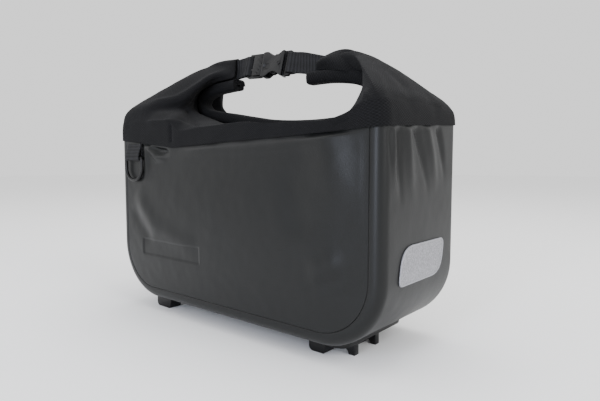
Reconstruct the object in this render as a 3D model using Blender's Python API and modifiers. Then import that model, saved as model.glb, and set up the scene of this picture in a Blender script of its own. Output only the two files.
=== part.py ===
"""Roll-top bicycle trunk bag: welded shell, woven collar rolled up into a handle, rack adapter.

Units are metres, +Z is up, the long front panel faces -Y and the origin lies on the ground
under the middle of the bag.
"""
import math
from typing import Callable, NamedTuple

import bmesh
import bpy
from mathutils import Matrix, Vector

# Driving dimensions of the welded shell
BODY_LENGTH = 0.340
BODY_WIDTH = 0.127
HEM_HEIGHT = 0.171
CORNER_RADIUS = 0.059
EDGE_RADIUS = 0.009
SEAM_INSET = 0.0117
BODY_WALL = 0.0015
RIM_LAP = 0.0045
HEM_FADE = 0.010
BELLY = 0.003

# Driving dimensions of the woven collar, its roll and the folded fins over the roll's arms
COLLAR_RISE = 0.083
COLLAR_WALL = 0.0012
SKIRT_CLEARANCE = 0.0004
LIP_LEAN = 0.0020
ROLL_WIDTH = 0.0162
SEAT_WIDTH = 0.018
ROLL_THICKNESS = 0.011
ROLL_SEAT = 0.0009
FIN_HEIGHT = 0.0215

# Webbing and side-release buckle, along the bag from its middle
WEBBING_WIDTH = 0.020
WEBBING_THICKNESS = 0.0014
WEBBING_PLAY = 0.0003
BUCKLE_HEIGHT = 0.2429
BUCKLE_LEAN = 12.0
BUCKLE_DIP = 3.2
BUCKLE_WIDTH = 0.025
HOUSING_THICKNESS = 0.0085
FRAME_THICKNESS = 0.0030
BUCKLE_LEFT = -0.026
BUCKLE_MOUTH = -0.005
BUCKLE_RIGHT = 0.031
BAR_WIDTH = 0.0026
SLOT_WIDTH = 0.0044
STRAP_LEFT_END = -0.054
STRAP_RIGHT_END = 0.086
STRAP_TAIL_END = 0.053
STRAP_LEFT_HEIGHT = 0.2430
STRAP_RIGHT_HEIGHT = 0.2338
STRAP_LEFT_NARROW = 0.92
STRAP_RIGHT_NARROW = 0.57

# Carrying ring on its webbing at the front left corner
RING_FROM_END = 0.0315
RING_BELOW_HEM = 0.020
RING_WIRE = 0.0034
RING_DROP = 0.0275
RING_WEBBING_WIDTH = 0.025
RING_WEBBING_THICKNESS = 0.0011
RING_PLAY = 0.0002
RING_SIDE_PLAY = 0.0008
RING_STAND = 0.0004

# Reflective patch on the right end, measured from the shell's underside
PATCH_WIDTH = 0.0735
PATCH_HEIGHT = 0.0305
PATCH_LOW = 0.0515
PATCH_LEAN = 0.0055
PATCH_SHIFT = -0.0010
PATCH_THICKNESS = 0.0006
PATCH_ROUND = 0.0165
PATCH_CORNER = 0.0075

# Rack adapter under the shell
FOOT_HEIGHT = 0.014
PLATE_THICKNESS = 0.0035
PLATE_LENGTH = 0.256
PLATE_WIDTH = 0.098
HOOK_LONG = 0.026
HOOK_SHORT = 0.018
HOOK_WIDTH = 0.014
HOOK_ROUND = 0.005
HOOK_ROW_INSET = 0.0155
HOOK_ROW_TAPER = 0.90
HOOK_LEFT_INSET = 0.055
HOOK_TO_LATCH = 0.029
LATCH_REACH = 0.126
LATCH_LENGTH = 0.018
LATCH_LEFT = -0.031
LATCH_RIGHT = 0.008
LATCH_RIB = 0.006
LATCH_FLOOR = 0.004
LATCH_TUCK = 0.001

CLEARANCE = 0.0003

HALF_LENGTH = BODY_LENGTH / 2
HALF_WIDTH = BODY_WIDTH / 2
BASE = FOOT_HEIGHT
HEM_TOP = BASE + HEM_HEIGHT
SKIRT_OFFSET = COLLAR_WALL + SKIRT_CLEARANCE
RING_PLACE = RING_FROM_END - HALF_LENGTH
RING_BAR_HEIGHT = HEM_HEIGHT - RING_BELOW_HEM
PLATE_TOP = BASE - CLEARANCE
PLATE_BOTTOM = PLATE_TOP - PLATE_THICKNESS

# Mesh fineness
ARC_STEPS = 3
PANEL_COLUMNS = 22
PANEL_ROWS = 10
SIDE_STEPS = 7
CORNER_STEPS = 7
BOTTOM_STEPS = 8
BAND_STEPS = 10
ROLL_STEPS = 36
ROLL_SIDES = 12
COLUMN_SPACING = 0.002
COLLAR_ROWS = [0.0, 0.55, 1.0, 1.3, 1.65, 2.0, 2.5, 3.0, 3.5, 4.0, 4.5, 5.0]


class Finish(NamedTuple):
    """Colour, roughness and metallic value of one material."""

    colour: tuple
    roughness: float
    metallic: float = 0.0


FINISHES = {
    "coated_fabric": Finish((0.040, 0.043, 0.044), 0.42),
    "woven_nylon": Finish((0.020, 0.020, 0.021), 0.85),
    "webbing": Finish((0.024, 0.024, 0.025), 0.70),
    "black_plastic": Finish((0.012, 0.012, 0.013), 0.35),
    "reflective_film": Finish((0.38, 0.38, 0.40), 0.30, 0.3),
}


class Hem(NamedTuple):
    """Height of the collar's lower edge as a share of HEM_HEIGHT, by place along the front."""

    along: float
    height: float


HEM_LINE = [
    Hem(-1.00, 1.000),
    Hem(-0.80, 0.980),
    Hem(-0.43, 0.940),
    Hem(-0.01, 0.959),
    Hem(0.35, 0.970),
    Hem(0.66, 0.982),
    Hem(1.00, 0.998),
]
BACK_HEM = 1.045


class Fold(NamedTuple):
    """A crease or swelling of a panel, from one end to the other, as shares of its sizes."""

    from_along: float
    from_height: float
    to_along: float
    to_height: float
    spread: float
    depth: float


FRONT_FOLDS = [
    Fold(-0.70, 0.96, -0.47, 0.88, 0.020, -0.0035),
    Fold(-0.84, 0.74, -0.62, 0.34, 0.020, -0.0018),
    Fold(-0.74, 0.48, -0.30, 0.30, 0.022, -0.0014),
    Fold(0.55, 0.62, 0.84, 0.30, 0.026, -0.0020),
    Fold(0.74, 0.95, 0.80, 0.40, 0.020, 0.0014),
]
BACK_FOLDS = [
    Fold(-0.60, 0.90, -0.20, 0.60, 0.030, -0.0015),
    Fold(0.30, 0.50, 0.70, 0.80, 0.030, -0.0015),
]
END_GATHERS = [
    Fold(-0.70, 1.00, -0.57, 0.62, 0.0060, -0.0026),
    Fold(-0.26, 1.00, 0.15, 0.68, 0.0055, -0.0028),
    Fold(0.36, 1.00, 0.62, 0.76, 0.0060, -0.0024),
    Fold(-0.45, 1.00, -0.25, 0.80, 0.0060, 0.0014),
    Fold(0.08, 1.00, 0.40, 0.80, 0.0060, 0.0014),
]


class Bend(NamedTuple):
    """A point on the roll's middle line: along the length, and rise above the hem."""

    along: float
    rise: float


ROLL_LINE = [
    Bend(-0.250, 0.680),
    Bend(-0.335, 0.674),
    Bend(-0.450, 0.655),
    Bend(-0.545, 0.595),
    Bend(-0.578, 0.480),
    Bend(-0.530, 0.365),
    Bend(-0.430, 0.310),
    Bend(-0.290, 0.265),
    Bend(-0.110, 0.200),
    Bend(0.080, 0.140),
    Bend(0.300, 0.112),
    Bend(0.500, 0.118),
    Bend(0.640, 0.160),
    Bend(0.735, 0.240),
    Bend(0.775, 0.350),
    Bend(0.740, 0.470),
    Bend(0.630, 0.570),
    Bend(0.480, 0.621),
    Bend(0.326, 0.628),
]


class Rib(NamedTuple):
    """One line of cloth up the collar, from its hem to the roll.

    hem is the place on the shell's outline: a share of half the length along the front, or of
    half the width across an end. lip is the top of the hem band. Then come three points as
    shares of half the length, half the width and the collar's rise. seat is the share of the
    roll's run where the cloth ends, lift its height over the roll as a share of the fin, and
    depth its distance from the middle as a share of half the roll's width.
    """

    hem: float
    lip: float
    wall: tuple
    ridge: tuple
    crown: tuple
    seat: float
    lift: float
    depth: float


LEFT_END_RIBS = [
    Rib(0.00, 0.24, (-0.965, 0.00, 0.41), (-0.800, 0.00, 0.720), (-0.520, 0.00, 1.00), 0.0, 1.00, 0.00),
    Rib(0.50, 0.24, (-0.965, 0.50, 0.41), (-0.760, 0.27, 0.735), (-0.520, 0.055, 0.975), 0.0, 0.90, 0.42),
]
FRONT_RIBS = [
    Rib(-1.00, 0.23, (-0.93, 0.90, 0.42), (-0.680, 0.44, 0.765), (-0.51, 0.105, 0.95), 0.0, 0.66, 0.52),
    Rib(-0.80, 0.22, (-0.74, 0.93, 0.44), (-0.545, 0.62, 0.535), (-0.405, 0.26, 0.80), 0.0, 0.32, 0.60),
    Rib(-0.67, 0.21, (-0.66, 0.90, 0.35), (-0.530, 0.57, 0.455), (-0.42, 0.235, 0.735), 0.01, 0.03, 0.82),
    Rib(-0.55, 0.20, (-0.54, 0.89, 0.31), (-0.540, 0.54, 0.420), (-0.490, 0.235, 0.66), 0.08, 0.0, 0.84),
    Rib(-0.45, 0.19, (-0.44, 0.89, 0.27), (-0.530, 0.50, 0.390), (-0.565, 0.235, 0.57), 0.15, 0.0, 0.84),
    Rib(-0.36, 0.08, (-0.35, 0.91, 0.16), (-0.450, 0.49, 0.310), (-0.590, 0.24, 0.44), 0.21, 0.0, 0.84),
    Rib(-0.18, 0.10, (-0.19, 0.91, 0.13), (-0.310, 0.50, 0.230), (-0.48, 0.24, 0.31), 0.28, 0.0, 0.84),
    Rib(-0.03, 0.11, (-0.03, 0.83, 0.12), (-0.100, 0.52, 0.135), (-0.22, 0.26, 0.16), 0.38, 0.0, 0.84),
    Rib(0.18, 0.12, (0.18, 0.83, 0.11), (0.170, 0.52, 0.080), (0.14, 0.27, 0.055), 0.50, 0.0, 0.84),
    Rib(0.38, 0.09, (0.38, 0.83, 0.09), (0.380, 0.52, 0.060), (0.38, 0.27, 0.040), 0.58, 0.0, 0.84),
    Rib(0.58, 0.08, (0.59, 0.86, 0.09), (0.580, 0.55, 0.080), (0.58, 0.27, 0.060), 0.66, 0.0, 0.84),
    Rib(0.73, 0.08, (0.74, 0.89, 0.10), (0.720, 0.57, 0.135), (0.71, 0.25, 0.150), 0.72, 0.0, 0.84),
    Rib(0.83, 0.13, (0.85, 0.93, 0.20), (0.800, 0.62, 0.350), (0.80, 0.27, 0.330), 0.78, 0.0, 0.84),
    Rib(0.90, 0.20, (0.90, 0.93, 0.32), (0.810, 0.64, 0.450), (0.77, 0.29, 0.530), 0.84, 0.0, 0.84),
    Rib(0.95, 0.22, (0.92, 0.93, 0.35), (0.800, 0.60, 0.540), (0.71, 0.25, 0.660), 0.885, 0.02, 0.82),
    Rib(1.00, 0.23, (0.935, 0.90, 0.36), (0.78, 0.52, 0.615), (0.65, 0.18, 0.760), 0.910, 0.24, 0.62),
]
RIGHT_END_RIBS = [
    Rib(0.50, 0.24, (0.965, 0.50, 0.35), (0.810, 0.27, 0.630), (0.62, 0.075, 0.830), 0.935, 0.50, 0.44),
    Rib(0.00, 0.24, (0.965, 0.00, 0.35), (0.820, 0.00, 0.640), (0.62, 0.00, 0.850), 0.938, 0.62, 0.00),
]
BACK_RIBS = [
    Rib(-1.00, 0.23, (-0.93, 0.90, 0.42), (-0.680, 0.44, 0.765), (-0.51, 0.105, 0.95), 0.0, 0.66, 0.52),
    Rib(-0.80, 0.22, (-0.74, 0.93, 0.40), (-0.660, 0.60, 0.520), (-0.47, 0.25, 0.79), 0.0, 0.20, 0.70),
    Rib(-0.60, 0.22, (-0.58, 0.92, 0.33), (-0.610, 0.54, 0.430), (-0.53, 0.265, 0.69), 0.09, 0.03, 0.86),
    Rib(-0.40, 0.21, (-0.38, 0.92, 0.27), (-0.460, 0.52, 0.320), (-0.605, 0.25, 0.46), 0.20, 0.0, 0.86),
    Rib(-0.15, 0.18, (-0.15, 0.88, 0.205), (-0.250, 0.52, 0.210), (-0.43, 0.24, 0.30), 0.29, 0.0, 0.84),
    Rib(0.15, 0.175, (0.15, 0.85, 0.180), (0.120, 0.52, 0.115), (0.05, 0.27, 0.075), 0.46, 0.0, 0.84),
    Rib(0.45, 0.175, (0.45, 0.85, 0.175), (0.450, 0.52, 0.100), (0.45, 0.27, 0.050), 0.60, 0.0, 0.84),
    Rib(0.68, 0.18, (0.68, 0.88, 0.195), (0.680, 0.55, 0.160), (0.67, 0.26, 0.120), 0.70, 0.0, 0.84),
    Rib(0.84, 0.21, (0.85, 0.92, 0.29), (0.800, 0.60, 0.370), (0.80, 0.27, 0.340), 0.79, 0.0, 0.84),
    Rib(0.95, 0.22, (0.92, 0.93, 0.35), (0.800, 0.60, 0.540), (0.71, 0.25, 0.660), 0.885, 0.02, 0.82),
    Rib(1.00, 0.23, (0.935, 0.90, 0.355), (0.78, 0.52, 0.615), (0.65, 0.18, 0.760), 0.910, 0.24, 0.62),
]


class Material:
    """Makes each Principled material once and hands it out by name."""

    made: dict = {}

    @classmethod
    def named(cls, name: str) -> bpy.types.Material:
        """Return the material of that name."""
        if name not in cls.made:
            finish = FINISHES[name]
            material = bpy.data.materials.new(name)
            material.use_nodes = True
            shader = material.node_tree.nodes["Principled BSDF"]
            shader.inputs["Base Color"].default_value = (*finish.colour, 1.0)
            shader.inputs["Roughness"].default_value = finish.roughness
            shader.inputs["Metallic"].default_value = finish.metallic
            cls.made[name] = material
        return cls.made[name]


def clear_scene() -> None:
    """Remove every object, so that the model starts from nothing."""
    for item in list(bpy.data.objects):
        bpy.data.objects.remove(item, do_unlink=True)


def collection(name: str) -> bpy.types.Collection:
    """Return a new collection linked to the scene."""
    made = bpy.data.collections.new(name)
    bpy.context.scene.collection.children.link(made)
    return made


def add_object(name: str, mesh: bpy.types.Mesh, finish: str) -> bpy.types.Object:
    """Put a mesh into the bag's collection under its own name."""
    item = bpy.data.objects.new(name, mesh)
    item.data.materials.append(Material.named(finish))
    bpy.data.collections["trunk_bag"].objects.link(item)
    return item


def lerp(first: float, second: float, share: float) -> float:
    """Return the value a share of the way from first to second."""
    return first + (second - first) * share


def mix(points: list, place: float) -> Vector:
    """Read a smooth curve through evenly numbered points at a fractional place."""
    last = len(points) - 1
    index = max(0, min(last - 1, int(math.floor(place))))
    share = max(0.0, min(1.0, place - index))
    before = points[max(0, index - 1)]
    after = points[min(last, index + 2)]
    start, end = points[index], points[index + 1]
    leave = (end - before) / 2
    arrive = (after - start) / 2
    cube, square = share ** 3, share ** 2
    return (start * (2 * cube - 3 * square + 1) + leave * (cube - 2 * square + share)
            + end * (3 * square - 2 * cube) + arrive * (cube - square))


def hem_height(x: float, y: float) -> float:
    """Return the height of the collar's hem above the ground; it rises towards the back."""
    along = x / HALF_LENGTH
    share = min(1.0, max(0.0, 0.5 + y / BODY_WIDTH))
    for left, right in zip(HEM_LINE, HEM_LINE[1:]):
        if along <= right.along or right is HEM_LINE[-1]:
            step = max(0.0, min(1.0, (along - left.along) / (right.along - left.along)))
            front = lerp(left.height, right.height, step)
            return BASE + HEM_HEIGHT * lerp(front, BACK_HEM, share)
    return HEM_TOP


def fold_relief(folds: list, along: float, up: float, half: float) -> float:
    """Add up the folds' depth at a place given in metres, in from the hem line."""
    total = 0.0
    for fold in folds:
        start = Vector((fold.from_along * half, fold.from_height * HEM_HEIGHT))
        end = Vector((fold.to_along * half, fold.to_height * HEM_HEIGHT))
        run = end - start
        offset = Vector((along, up)) - start
        share = max(0.0, min(1.0, offset.dot(run) / run.length_squared))
        away = (offset - run * share).length / fold.spread
        fade = math.sin(math.pi * min(1.0, 0.25 + 0.75 * share)) ** 0.5 if share < 1 else 0.35
        total += fold.depth * math.exp(-away * away) * max(fade, 0.35)
    return total


def warped_grid(name: str, across: int, up: int, place: Callable, closed: bool = False) -> bpy.types.Mesh:
    """Bend a flat grid into a surface; place gives each vertex its point from two shares."""
    shape = bmesh.new()
    bmesh.ops.create_grid(shape, x_segments=across, y_segments=up, size=0.5)
    for vertex in shape.verts:
        vertex.co = place(vertex.co.x + 0.5, vertex.co.y + 0.5)
    if closed:
        bmesh.ops.remove_doubles(shape, verts=shape.verts, dist=1e-6)
    mesh = bpy.data.meshes.new(name)
    shape.to_mesh(mesh)
    shape.free()
    mesh.shade_smooth()
    return mesh


def thicken(item: bpy.types.Object, thickness: float, offset: float = -1.0) -> None:
    """Give an open sheet its wall."""
    wall = item.modifiers.new("wall", "SOLIDIFY")
    wall.thickness = thickness
    wall.offset = offset
    wall.use_even_offset = True


def corner_height(inset: float, x: float) -> float:
    """Return how high the U outline, drawn in by inset, stands above its lowest line at x."""
    radius = CORNER_RADIUS - inset
    beyond = abs(x) - (HALF_LENGTH - CORNER_RADIUS)
    if beyond <= 0:
        return inset
    return CORNER_RADIUS - math.sqrt(max(0.0, radius ** 2 - min(beyond, radius) ** 2))


def panel_columns(share: float, half: float) -> float:
    """Space the panel's columns evenly in the middle and closer round its corners."""
    side = 2 * share - 1
    straight = (HALF_LENGTH - CORNER_RADIUS) / HALF_LENGTH
    if abs(side) <= straight:
        return side * HALF_LENGTH * half / HALF_LENGTH
    turn = (abs(side) - straight) / (1 - straight) * math.pi / 2
    reach = half - (HALF_LENGTH - CORNER_RADIUS) * half / HALF_LENGTH
    return math.copysign(straight * half + reach * math.sin(turn), side)


def rim_spaced(low: float, hem: float, step: float, steps: int) -> float:
    """Return a height by steps down from the rim: rim, hem line, just below it, then evenly."""
    if step <= 1:
        return lerp(hem + RIM_LAP, hem - 0.0005, step)
    if step <= 2:
        return lerp(hem - 0.0005, hem - HEM_FADE, step - 1)
    return lerp(hem - HEM_FADE, low, (step - 2) / (steps - 2))


def make_panel(name: str, facing: int, folds: list) -> bpy.types.Object:
    """Model the front or back panel, a U-shaped sheet inside the seam."""
    inset = SEAM_INSET + CLEARANCE
    half = HALF_LENGTH - inset

    def place(u: float, v: float) -> Vector:
        x = panel_columns(u, half)
        low = corner_height(inset, x)
        hem = hem_height(x, facing * HALF_WIDTH) - BASE
        up = rim_spaced(low, hem, (1 - v) * PANEL_ROWS, PANEL_ROWS)
        edge = min((half - abs(x)) / 0.03, (up - low) / 0.03, 1.0)
        rim = min(max((hem - 0.0005 - up) / HEM_FADE, 0.0), 1.0)
        hold = max(edge, 0.0) ** 0.7 * rim
        swell = BELLY * max(0.0, 1 - (x / half) ** 2) ** 0.5 * math.sin(math.pi * min(1.0, up / hem))
        out = (swell + fold_relief(folds, x, up, HALF_LENGTH)) * hold
        return Vector((x, facing * (HALF_WIDTH + out), BASE + up))

    mesh = warped_grid(name, PANEL_COLUMNS, PANEL_ROWS, place)
    panel = add_object(name, mesh, "coated_fabric")
    thicken(panel, BODY_WALL, -1.0 if facing < 0 else 1.0)
    return panel


def outline_point(share: float, hem: float) -> tuple:
    """Return a point and the inward normal on the U outline, from rim to rim, left to right."""
    half_steps = SIDE_STEPS + CORNER_STEPS + BOTTOM_STEPS / 2
    step = share * 2 * half_steps
    if step > half_steps:
        point, normal = outline_point(1 - share, hem)
        return Vector((-point.x, 0, point.z)), Vector((-normal.x, 0, normal.z))
    centre_x = HALF_LENGTH - CORNER_RADIUS
    if step <= SIDE_STEPS:
        up = rim_spaced(CORNER_RADIUS, hem, step, SIDE_STEPS)
        return Vector((-HALF_LENGTH, 0, up)), Vector((1, 0, 0))
    if step <= SIDE_STEPS + CORNER_STEPS:
        turn = (step - SIDE_STEPS) / CORNER_STEPS * math.pi / 2
        normal = Vector((math.cos(turn), 0, math.sin(turn)))
        return Vector((-centre_x, 0, CORNER_RADIUS)) - normal * CORNER_RADIUS, normal
    step -= SIDE_STEPS + CORNER_STEPS
    return Vector((lerp(-centre_x, 0.0, step / (BOTTOM_STEPS / 2)), 0, 0)), Vector((0, 0, 1))


def band_point(share: float) -> tuple:
    """Return the inset and y across the gusset: flange, round edge, flat, round edge, flange."""
    half_steps = 1 + ARC_STEPS + BAND_STEPS / 2
    step = share * 2 * half_steps
    flat = HALF_WIDTH - EDGE_RADIUS
    if step > half_steps:
        inset, y = band_point(1 - share)
        return inset, -y
    if step <= 1:
        return lerp(SEAM_INSET, EDGE_RADIUS, step), -HALF_WIDTH
    if step <= 1 + ARC_STEPS:
        turn = (step - 1) / ARC_STEPS * math.pi / 2
        return EDGE_RADIUS * (1 - math.sin(turn)), -flat - EDGE_RADIUS * math.cos(turn)
    return 0.0, lerp(-flat, 0.0, (step - 1 - ARC_STEPS) / (BAND_STEPS / 2))


def make_gusset() -> bpy.types.Object:
    """Model the band round the two ends and the bottom, gathered under the hem at the ends."""
    flat = HALF_WIDTH - EDGE_RADIUS

    def place(u: float, v: float) -> Vector:
        inset, y = band_point(v)
        hem = hem_height(HALF_LENGTH, y) - BASE
        point, normal = outline_point(u, hem)
        below = min(max((hem - 0.0005 - point.z) / HEM_FADE, 0.0), 1.0)
        edge = min(max((flat - abs(y)) / 0.008, 0.0), 1.0)
        gather = 0.0
        if abs(point.x) > HALF_LENGTH - CORNER_RADIUS / 2:
            gather = fold_relief(END_GATHERS, y, point.z, HALF_WIDTH) * below * edge
        point = point + normal * (inset + gather)
        return Vector((point.x, y, BASE + point.z))

    around = 2 * (SIDE_STEPS + CORNER_STEPS) + BOTTOM_STEPS
    mesh = warped_grid("gusset", around, 2 * (1 + ARC_STEPS) + BAND_STEPS, place)
    gusset = add_object("gusset", mesh, "coated_fabric")
    thicken(gusset, BODY_WALL, 1.0)
    return gusset


def roll_point(share: float) -> Vector:
    """Return a point on the roll's middle line, by share of its run from left to right."""
    points = [Vector((bend.along * HALF_LENGTH, 0, HEM_TOP + bend.rise * COLLAR_RISE))
              for bend in ROLL_LINE]
    return mix(points, share * (len(points) - 1))


def roll_outside(share: float) -> Vector:
    """Return the direction from the roll's middle line to the outside of its C."""
    ahead = roll_point(min(1.0, share + 0.01)) - roll_point(max(0.0, share - 0.01))
    ahead.normalize()
    return Vector((ahead.z, 0, -ahead.x))


def squared(value: float) -> float:
    """Push a circle's coordinate out towards a rounded square's."""
    return math.copysign(math.sqrt(abs(value)), value)


def close_ends(mesh: bpy.types.Mesh) -> None:
    """Fill the open ends of a tube and turn its faces outwards."""
    shape = bmesh.new()
    shape.from_mesh(mesh)
    bmesh.ops.holes_fill(shape, edges=[edge for edge in shape.edges if edge.is_boundary])
    bmesh.ops.recalc_face_normals(shape, faces=shape.faces)
    shape.to_mesh(mesh)
    shape.free()
    mesh.set_sharp_from_angle(angle=math.radians(50))


def make_roll() -> bpy.types.Object:
    """Model the wound top of the collar, a flattened bar that turns back over at both ends."""

    def place(u: float, v: float) -> Vector:
        turn = v * 2 * math.pi
        flat = squared(math.cos(turn)) * ROLL_WIDTH / 2
        high = squared(math.sin(turn)) * ROLL_THICKNESS / 2
        return roll_point(u) + roll_outside(u) * high + Vector((0, flat, 0))

    mesh = warped_grid("roll_closure", ROLL_STEPS, ROLL_SIDES, place, closed=True)
    close_ends(mesh)
    return add_object("roll_closure", mesh, "woven_nylon")


def skirt_lengths() -> tuple:
    """Return the hem outline's half end, corner arc, front and half perimeter."""
    side = HALF_WIDTH - EDGE_RADIUS
    arc = (EDGE_RADIUS + SKIRT_OFFSET) * math.pi / 2
    front = BODY_LENGTH - 2 * EDGE_RADIUS
    return side, arc, front, 2 * (side + arc) + front


def skirt_point(run: float) -> Vector:
    """Return a point on the hem's outline, by its distance from the middle of the left end."""
    radius = EDGE_RADIUS + SKIRT_OFFSET
    side, arc, _, whole = skirt_lengths()
    if run > whole / 2:
        mirrored = skirt_point(whole - run)
        return Vector((-mirrored.x, mirrored.y, 0))
    if run <= side:
        return Vector((-HALF_LENGTH - SKIRT_OFFSET, -run, 0))
    if run <= side + arc:
        turn = (run - side) / radius
        x = -HALF_LENGTH + EDGE_RADIUS - radius * math.cos(turn)
        return Vector((x, -side - radius * math.sin(turn), 0))
    return Vector((run - whole / 2, -HALF_WIDTH - SKIRT_OFFSET, 0))


def skirt_run(rib: Rib, end: int) -> float:
    """Return where a rib stands on the hem's outline, as a distance from the left end."""
    side, arc, _, whole = skirt_lengths()
    if end:
        away = min(rib.hem * HALF_WIDTH, side)
        return away if end < 0 else whole - away
    if abs(rib.hem) == 1.0:
        return side + arc / 2 if rib.hem < 0 else whole - side - arc / 2
    return whole / 2 + rib.hem * HALF_LENGTH


def arc_marks() -> list:
    """Return the distances at which the hem's outline turns its two corners."""
    side, arc, _, whole = skirt_lengths()
    near = [side + arc * step / ARC_STEPS for step in range(ARC_STEPS + 1)]
    return near + [whole - mark for mark in near]


def column_places(runs: list) -> list:
    """List a half ring's columns from left to right, each as a rib number and a distance."""
    places = []
    for number, (start, stop) in enumerate(zip(runs, runs[1:])):
        fixed = (start, (start + stop) / 2, stop)
        turns = [mark for mark in arc_marks()
                 if start < mark < stop and min(abs(mark - known) for known in fixed) > COLUMN_SPACING]
        places += [(number + (mark - start) / (stop - start), mark)
                   for mark in sorted(fixed[:2] + tuple(turns))]
    places.append((len(runs) - 1.0, runs[-1]))
    return places


def rib_knots(ribs: list) -> tuple:
    """Return the ribs' wall, ridge, crown and seat points, each as one list over the ribs."""
    walls, ridges, crowns, seats = [], [], [], []
    for rib in ribs:
        for group, (x, y, rise) in ((walls, rib.wall), (ridges, rib.ridge), (crowns, rib.crown)):
            group.append(Vector((x * HALF_LENGTH, -y * HALF_WIDTH, HEM_TOP + rise * COLLAR_RISE)))
        away = ROLL_THICKNESS / 2 + ROLL_SEAT + rib.lift * FIN_HEIGHT
        seat = roll_point(rib.seat) + roll_outside(rib.seat) * away
        seats.append(seat + Vector((0, -rib.depth * SEAT_WIDTH / 2, 0)))
    return walls, ridges, crowns, seats


def band_place(foot: Vector, top: float, share: float) -> Vector:
    """Return a point up the collar's hem band, which leans in from both ends near its top."""
    lean = foot.x / HALF_LENGTH * LIP_LEAN * share ** 3
    return Vector((foot.x - lean, foot.y, lerp(foot.z, top, share)))


def collar_half(middle_ribs: list, side: int) -> list:
    """Return the columns of the collar's front (side -1) or back (1) half, left to right."""
    ends = [-1] * len(LEFT_END_RIBS) + [0] * len(middle_ribs) + [1] * len(RIGHT_END_RIBS)
    ribs = LEFT_END_RIBS + middle_ribs + RIGHT_END_RIBS
    groups = rib_knots(ribs)
    lips = [Vector((0, 0, HEM_TOP + rib.lip * COLLAR_RISE)) for rib in ribs]
    columns = []
    for place, run in column_places([skirt_run(rib, end) for rib, end in zip(ribs, ends)]):
        foot = skirt_point(run)
        foot.z = hem_height(foot.x, -side * foot.y)
        top = mix(lips, place).z
        knots = [band_place(foot, top, 1.0)] + [mix(group, place) for group in groups]
        column = [band_place(foot, top, row) if row <= 1 else mix(knots, row - 1)
                  for row in COLLAR_ROWS]
        columns.append([Vector((point.x, -side * point.y, point.z)) for point in column])
    return columns


def make_collar() -> bpy.types.Object:
    """Model the woven collar: hem band, two hoods over the ends and a low middle."""
    ring = collar_half(FRONT_RIBS, -1) + collar_half(BACK_RIBS, 1)[-2::-1]

    def place(u: float, v: float) -> Vector:
        return ring[round(u * (len(ring) - 1))][round(v * (len(COLLAR_ROWS) - 1))]

    mesh = warped_grid("collar", len(ring) - 1, len(COLLAR_ROWS) - 1, place, closed=True)
    collar = add_object("collar", mesh, "woven_nylon")
    thicken(collar, COLLAR_WALL)
    return collar


def flat_shape(name: str, loops: list, half: float, facing: Matrix) -> bpy.types.Mesh:
    """Extrude closed outlines, the first with the others as holes, and turn the result."""
    curve = bpy.data.curves.new(name, "CURVE")
    curve.dimensions = "2D"
    curve.fill_mode = "BOTH"
    curve.extrude = half
    for loop in loops:
        spline = curve.splines.new("POLY")
        spline.points.add(len(loop) - 1)
        for point, (across, up) in zip(spline.points, loop):
            point.co = (across, up, 0, 1)
        spline.use_cyclic_u = True
    guide = bpy.data.objects.new(name, curve)
    bpy.context.scene.collection.objects.link(guide)
    shape = bmesh.new()
    mesh = bpy.data.meshes.new_from_object(guide.evaluated_get(bpy.context.evaluated_depsgraph_get()))
    shape.from_mesh(mesh)
    bmesh.ops.remove_doubles(shape, verts=shape.verts, dist=1e-6)
    bmesh.ops.transform(shape, matrix=facing, verts=shape.verts)
    bmesh.ops.recalc_face_normals(shape, faces=shape.faces)
    shape.to_mesh(mesh)
    shape.free()
    bpy.data.objects.remove(guide, do_unlink=True)
    mesh.name = name
    return mesh


def mirrored(upper: list) -> list:
    """Complete an outline given from left to right above its middle line."""
    return upper + [(across, -up) for across, up in reversed(upper)]


def box_mesh(name: str, low: tuple, high: tuple) -> bpy.types.Mesh:
    """Return a box between two corners."""
    shape = bmesh.new()
    bmesh.ops.create_cube(shape, size=1.0)
    for vertex in shape.verts:
        vertex.co = Vector([lerp(start, stop, part + 0.5)
                            for start, stop, part in zip(low, high, vertex.co)])
    mesh = bpy.data.meshes.new(name)
    shape.to_mesh(mesh)
    shape.free()
    return mesh


def combine(item: bpy.types.Object, other: bpy.types.Mesh, operation: str) -> None:
    """Join another solid to an object, or cut it out of it."""
    helper = bpy.data.objects.new(other.name, other)
    bpy.data.collections["cutters"].objects.link(helper)
    helper.hide_render = True
    helper.display_type = "WIRE"
    helper.matrix_world = item.matrix_world
    step = item.modifiers.new(other.name, "BOOLEAN")
    step.operation = operation
    step.object = helper


def buckle_placing() -> Matrix:
    """Return the buckle's place: at the top of the handle, leaning back a little."""
    return (Matrix.Translation((0, 0, BASE + BUCKLE_HEIGHT))
            @ Matrix.Rotation(math.radians(BUCKLE_DIP), 4, "Y")
            @ Matrix.Rotation(math.radians(-BUCKLE_LEAN), 4, "X"))


def frame_slot(left: float) -> list:
    """Return the outline of a webbing slot whose left side is given."""
    high = WEBBING_WIDTH / 2 + 2 * WEBBING_PLAY
    return [(left, high), (left + SLOT_WIDTH, high), (left + SLOT_WIDTH, -high), (left, -high)]


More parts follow.
